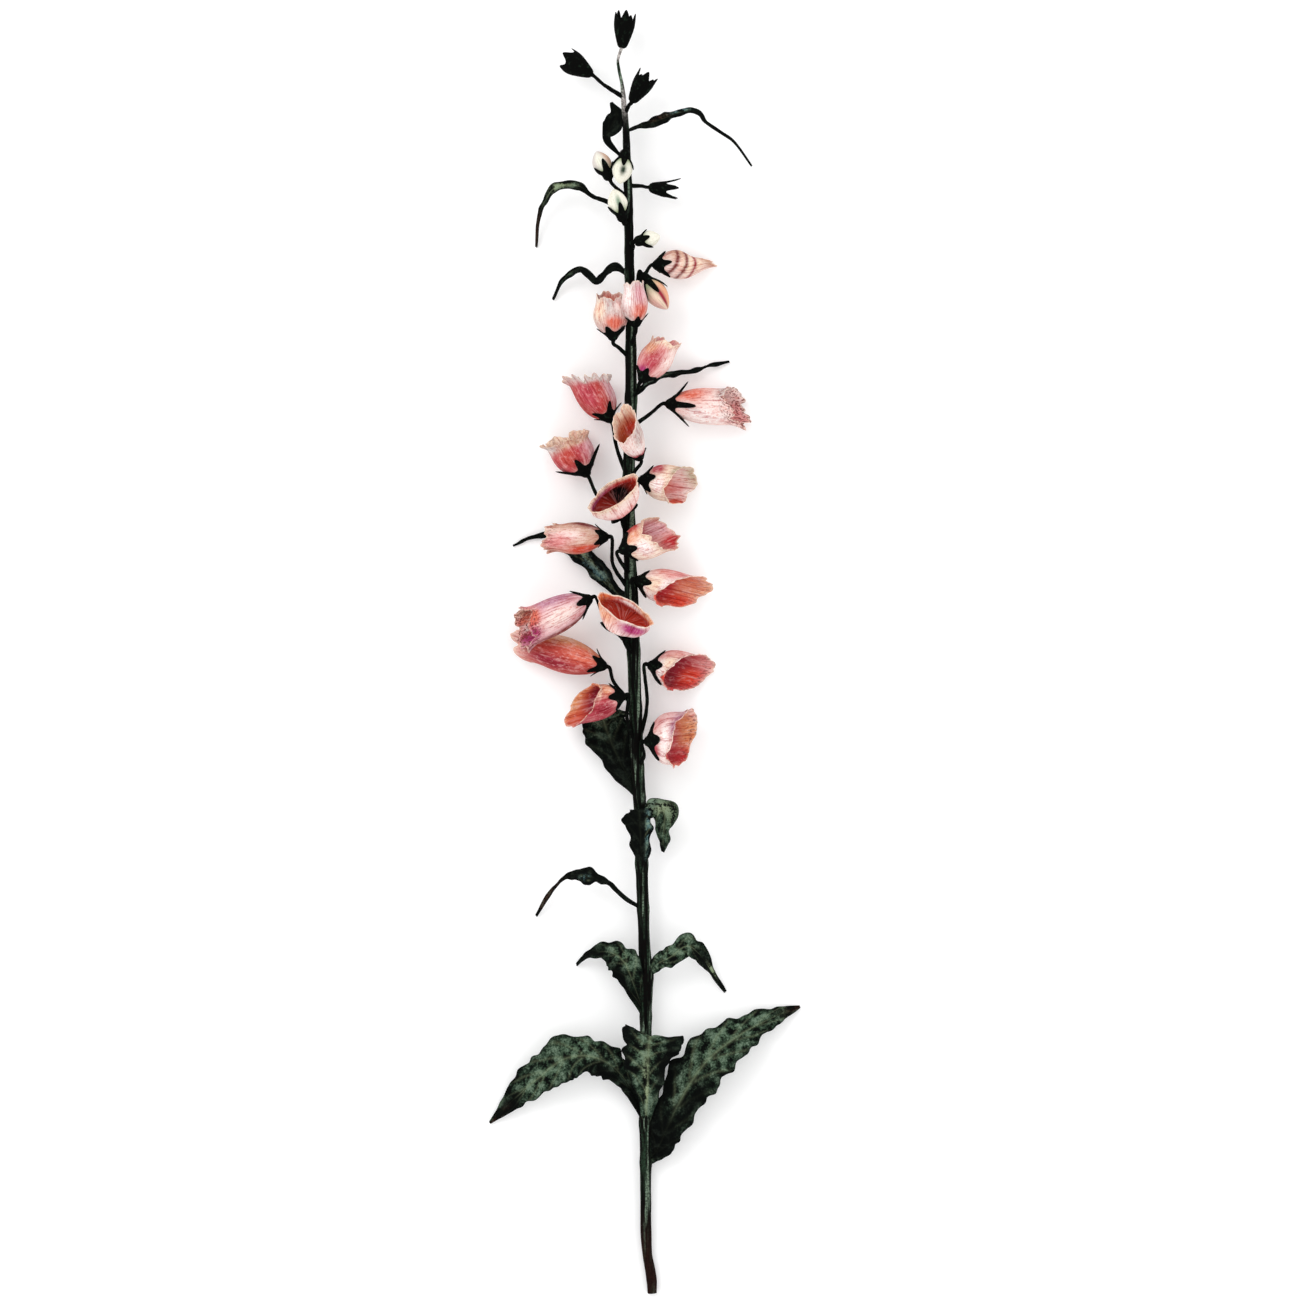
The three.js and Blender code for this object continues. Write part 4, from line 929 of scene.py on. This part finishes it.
def leaf(name, spec, seed, cloth):
    rows = np.array(spec["rows"], float)
    length = np.linalg.norm(np.diff(rows[:, :3], axis=0), axis=1).sum()
    width = rows[:, 3].max()
    pick_out()
    bpy.ops.mesh.primitive_grid_add(x_subdivisions=int(np.clip(width * 1.1, 8, 24)),
        y_subdivisions=int(np.clip(length / LEAF_GRAIN, 24, 90)), size=2)
    piece = bpy.context.object
    piece.name = name
    flat = places(piece)
    across, share = flat[:, 0], (flat[:, 1] + 1) / 2
    for _ in range(8 if spec["rest"] else 0):
        low = leaf_places(across, share, spec, rows, seed)[0][:, 2].min() - FLOOR_CLEAR - LEAF_THICKNESS
        rows[:, 2] -= low * smooth(0, 1, np.linspace(0, 1, len(rows)))
    spots, veins, crest = leaf_places(across, share, spec, rows, seed)
    spots[:, 2] = np.maximum(spots[:, 2], FLOOR_CLEAR + LEAF_THICKNESS)
    set_places(piece, spots * MM)
    tone = painted(spec["body"], spec["patches"], across, share)
    # crest follows the blade's raised crests, for painted highlights on them and painted shade between them;
    # the lighter the painted tone, the more highlights and pale veins show
    give(piece, paint=tone, glow=(tone[:, 1] / dye("moss")[1] * 0.75).clip(0.04, 0.9),
        crest=(0.5 + 0.42 * crest).clip(0, 1), veins=0.4 * veins, rim=0.75 * smooth(0.86, 1, np.abs(across)))
    piece.data.materials.append(cloth)
    thicken(piece, LEAF_THICKNESS)
    return piece


# ---- stem ----
def stem(bark):
    piece = tube("stem", STEM, *STEM_MESH)
    co = places(piece)
    normals = normals_of(piece)
    joints = [spec["root"] for spec in (*FLOWERS.values(), *BUDS.values())]
    joints += [spec["rows"][0][1] for spec in LEAVES.values()]
    y = co[:, 1] / MM
    swelling = sum(np.exp(-((y - joint) / JOINT_REACH) ** 2) for joint in joints).clip(0, 1.2)
    rough = np.array([noise.noise(Vector((p[0] * 260, p[1] * 90, p[2] * 260))) for p in co])
    ribs = np.cos(5 * np.arctan2(normals[:, 2], normals[:, 0]) + y / 45)
    tip = smooth(-320, 345, y)
    push = 0.4 * swelling * (1 - 0.5 * tip) + ROUGHNESS * rough * (1 - 0.5 * tip) + 0.13 * ribs * (1 - tip)
    set_places(piece, co + normals * push[:, None] * MM)
    # pale is a painted highlight on the lit top of the stem and its stalk to the cup; foot is its own purple
    # brown
    give(piece, foot=0.7 * (1 - smooth(-352, -318, y)),
        pale=0.85 * (np.exp(-((y - 320) / 7) ** 2) + smooth(341, 346, y)))
    piece.data.materials.append(bark)
    return piece


# ---- buds ----
def egg_radius(s, size):
    return size * np.sin(math.pi * np.clip(s, 0, 1)) ** 0.7


def bud(name, spec, master, seed, skins):
    """A calyx, with petals in it where the bud is closed."""
    axis = Axis(spec["base"], spec["tip"], (0.1, 0.2, 1))
    size = spec["bud"]
    if size == 0:
        cup = lambda h: spec["radius"] * np.sin(math.pi * (0.24 + 0.42 * np.clip(h / axis.length, 0, 1.1)))
        sepal, notch = (axis.length, spec["spread"], 1.3), axis.length * spec["notch"]
    else:
        cup = lambda h: egg_radius(np.clip(np.maximum(h, 1) / axis.length, 0, 0.5), size)
        sepal, notch = (axis.length * 0.5, 0.7, 1.5), 2.4
    husk = calyx(name, master, axis, cup, seed, sepal, notch, skins["sepal"], spec["root"], spec["bend"])
    if size == 0:
        return [husk]
    pick_out()
    bpy.ops.mesh.primitive_uv_sphere_add(segments=40, ring_count=24, radius=1)
    egg = bpy.context.object
    egg.name = name + "_petals"
    co = places(egg)
    share = 0.5 - 0.5 * np.cos(math.pi * (1 + co[:, 2]) / 2)
    angle = np.arctan2(co[:, 1], co[:, 0])
    seams = 1 - 0.07 * np.abs(np.sin(LOBES / 2 * angle + share * 1.8)) ** 8 * smooth(0.3, 0.6, share)
    set_places(egg, axis.put(egg_radius(share, size) * seams, share * axis.length * 0.98 + 0.1, angle) * MM)
    tone = painted(spec["body"], [("lichen", 0, 0.1, 9, 0.2), *spec["patches"]], axis.across(angle), share)
    give(egg, paint=tone, grain=np.stack([np.cos(angle), np.sin(angle), share], axis=1) + seed)
    egg.data.materials.append(skins["bud"])
    finish(egg, SMOOTHER)
    return [husk, egg]


# ---- the whole spike ----
def stand_for(piece, node):
    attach(piece, "root")
    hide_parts(node)


def build():
    studio()
    skins = {"petal": silk_petal("petal_silk", "paint"), "lining": silk_petal("petal_lining", "lining"),
        "leaf": silk_leaf(), "stem": stem_bark(), "sepal": sepal_skin(), "bud": bud_skin()}
    bell_master = ring_stack("bell_master", BELL_AROUND, BELL_RINGS)
    calyx_master = ring_stack("calyx_master", CALYX_AROUND, range(CALYX_RINGS))

    stand_for(stem(skins["stem"]), "main_stem")
    stand_for(bud("stem_cup", STEM_CUP, calyx_master, CUP_SEED, skins)[0], "main_stem")
    stand_for(leaf("stem_bract", STEM_BRACT, BRACT_SEED, skins["leaf"]), "main_stem")
    for seed, (name, spec) in enumerate(LEAVES.items()):
        stand_for(leaf(name + "_blade", spec, seed, skins["leaf"]), name)
    for seed, (key, spec) in enumerate(FLOWERS.items()):
        axis = flower_axis(spec, bell_master, seed)
        petals = bell("bell_" + key, bell_master, spec, axis, seed, skins["petal"], skins["lining"])
        stand_for(petals, "corolla_" + key)
        inside = lambda h: bell_radius(h / axis.length, spec["radius"])
        sepals = calyx("sepals_" + key, calyx_master, axis, inside, seed, spec["sepal"], FLOWER_NOTCH,
            skins["sepal"], spec["root"], spec["bend"])
        stand_for(sepals, "corolla_young" if key == "young" else "calyx_" + key)
    for seed, (name, spec) in enumerate(BUDS.items()):
        for piece in bud(name + "_husk", spec, calyx_master, BUD_SEED + seed, skins):
            stand_for(piece, name)
    for master in (bell_master, calyx_master):
        bpy.data.objects.remove(master)


build()
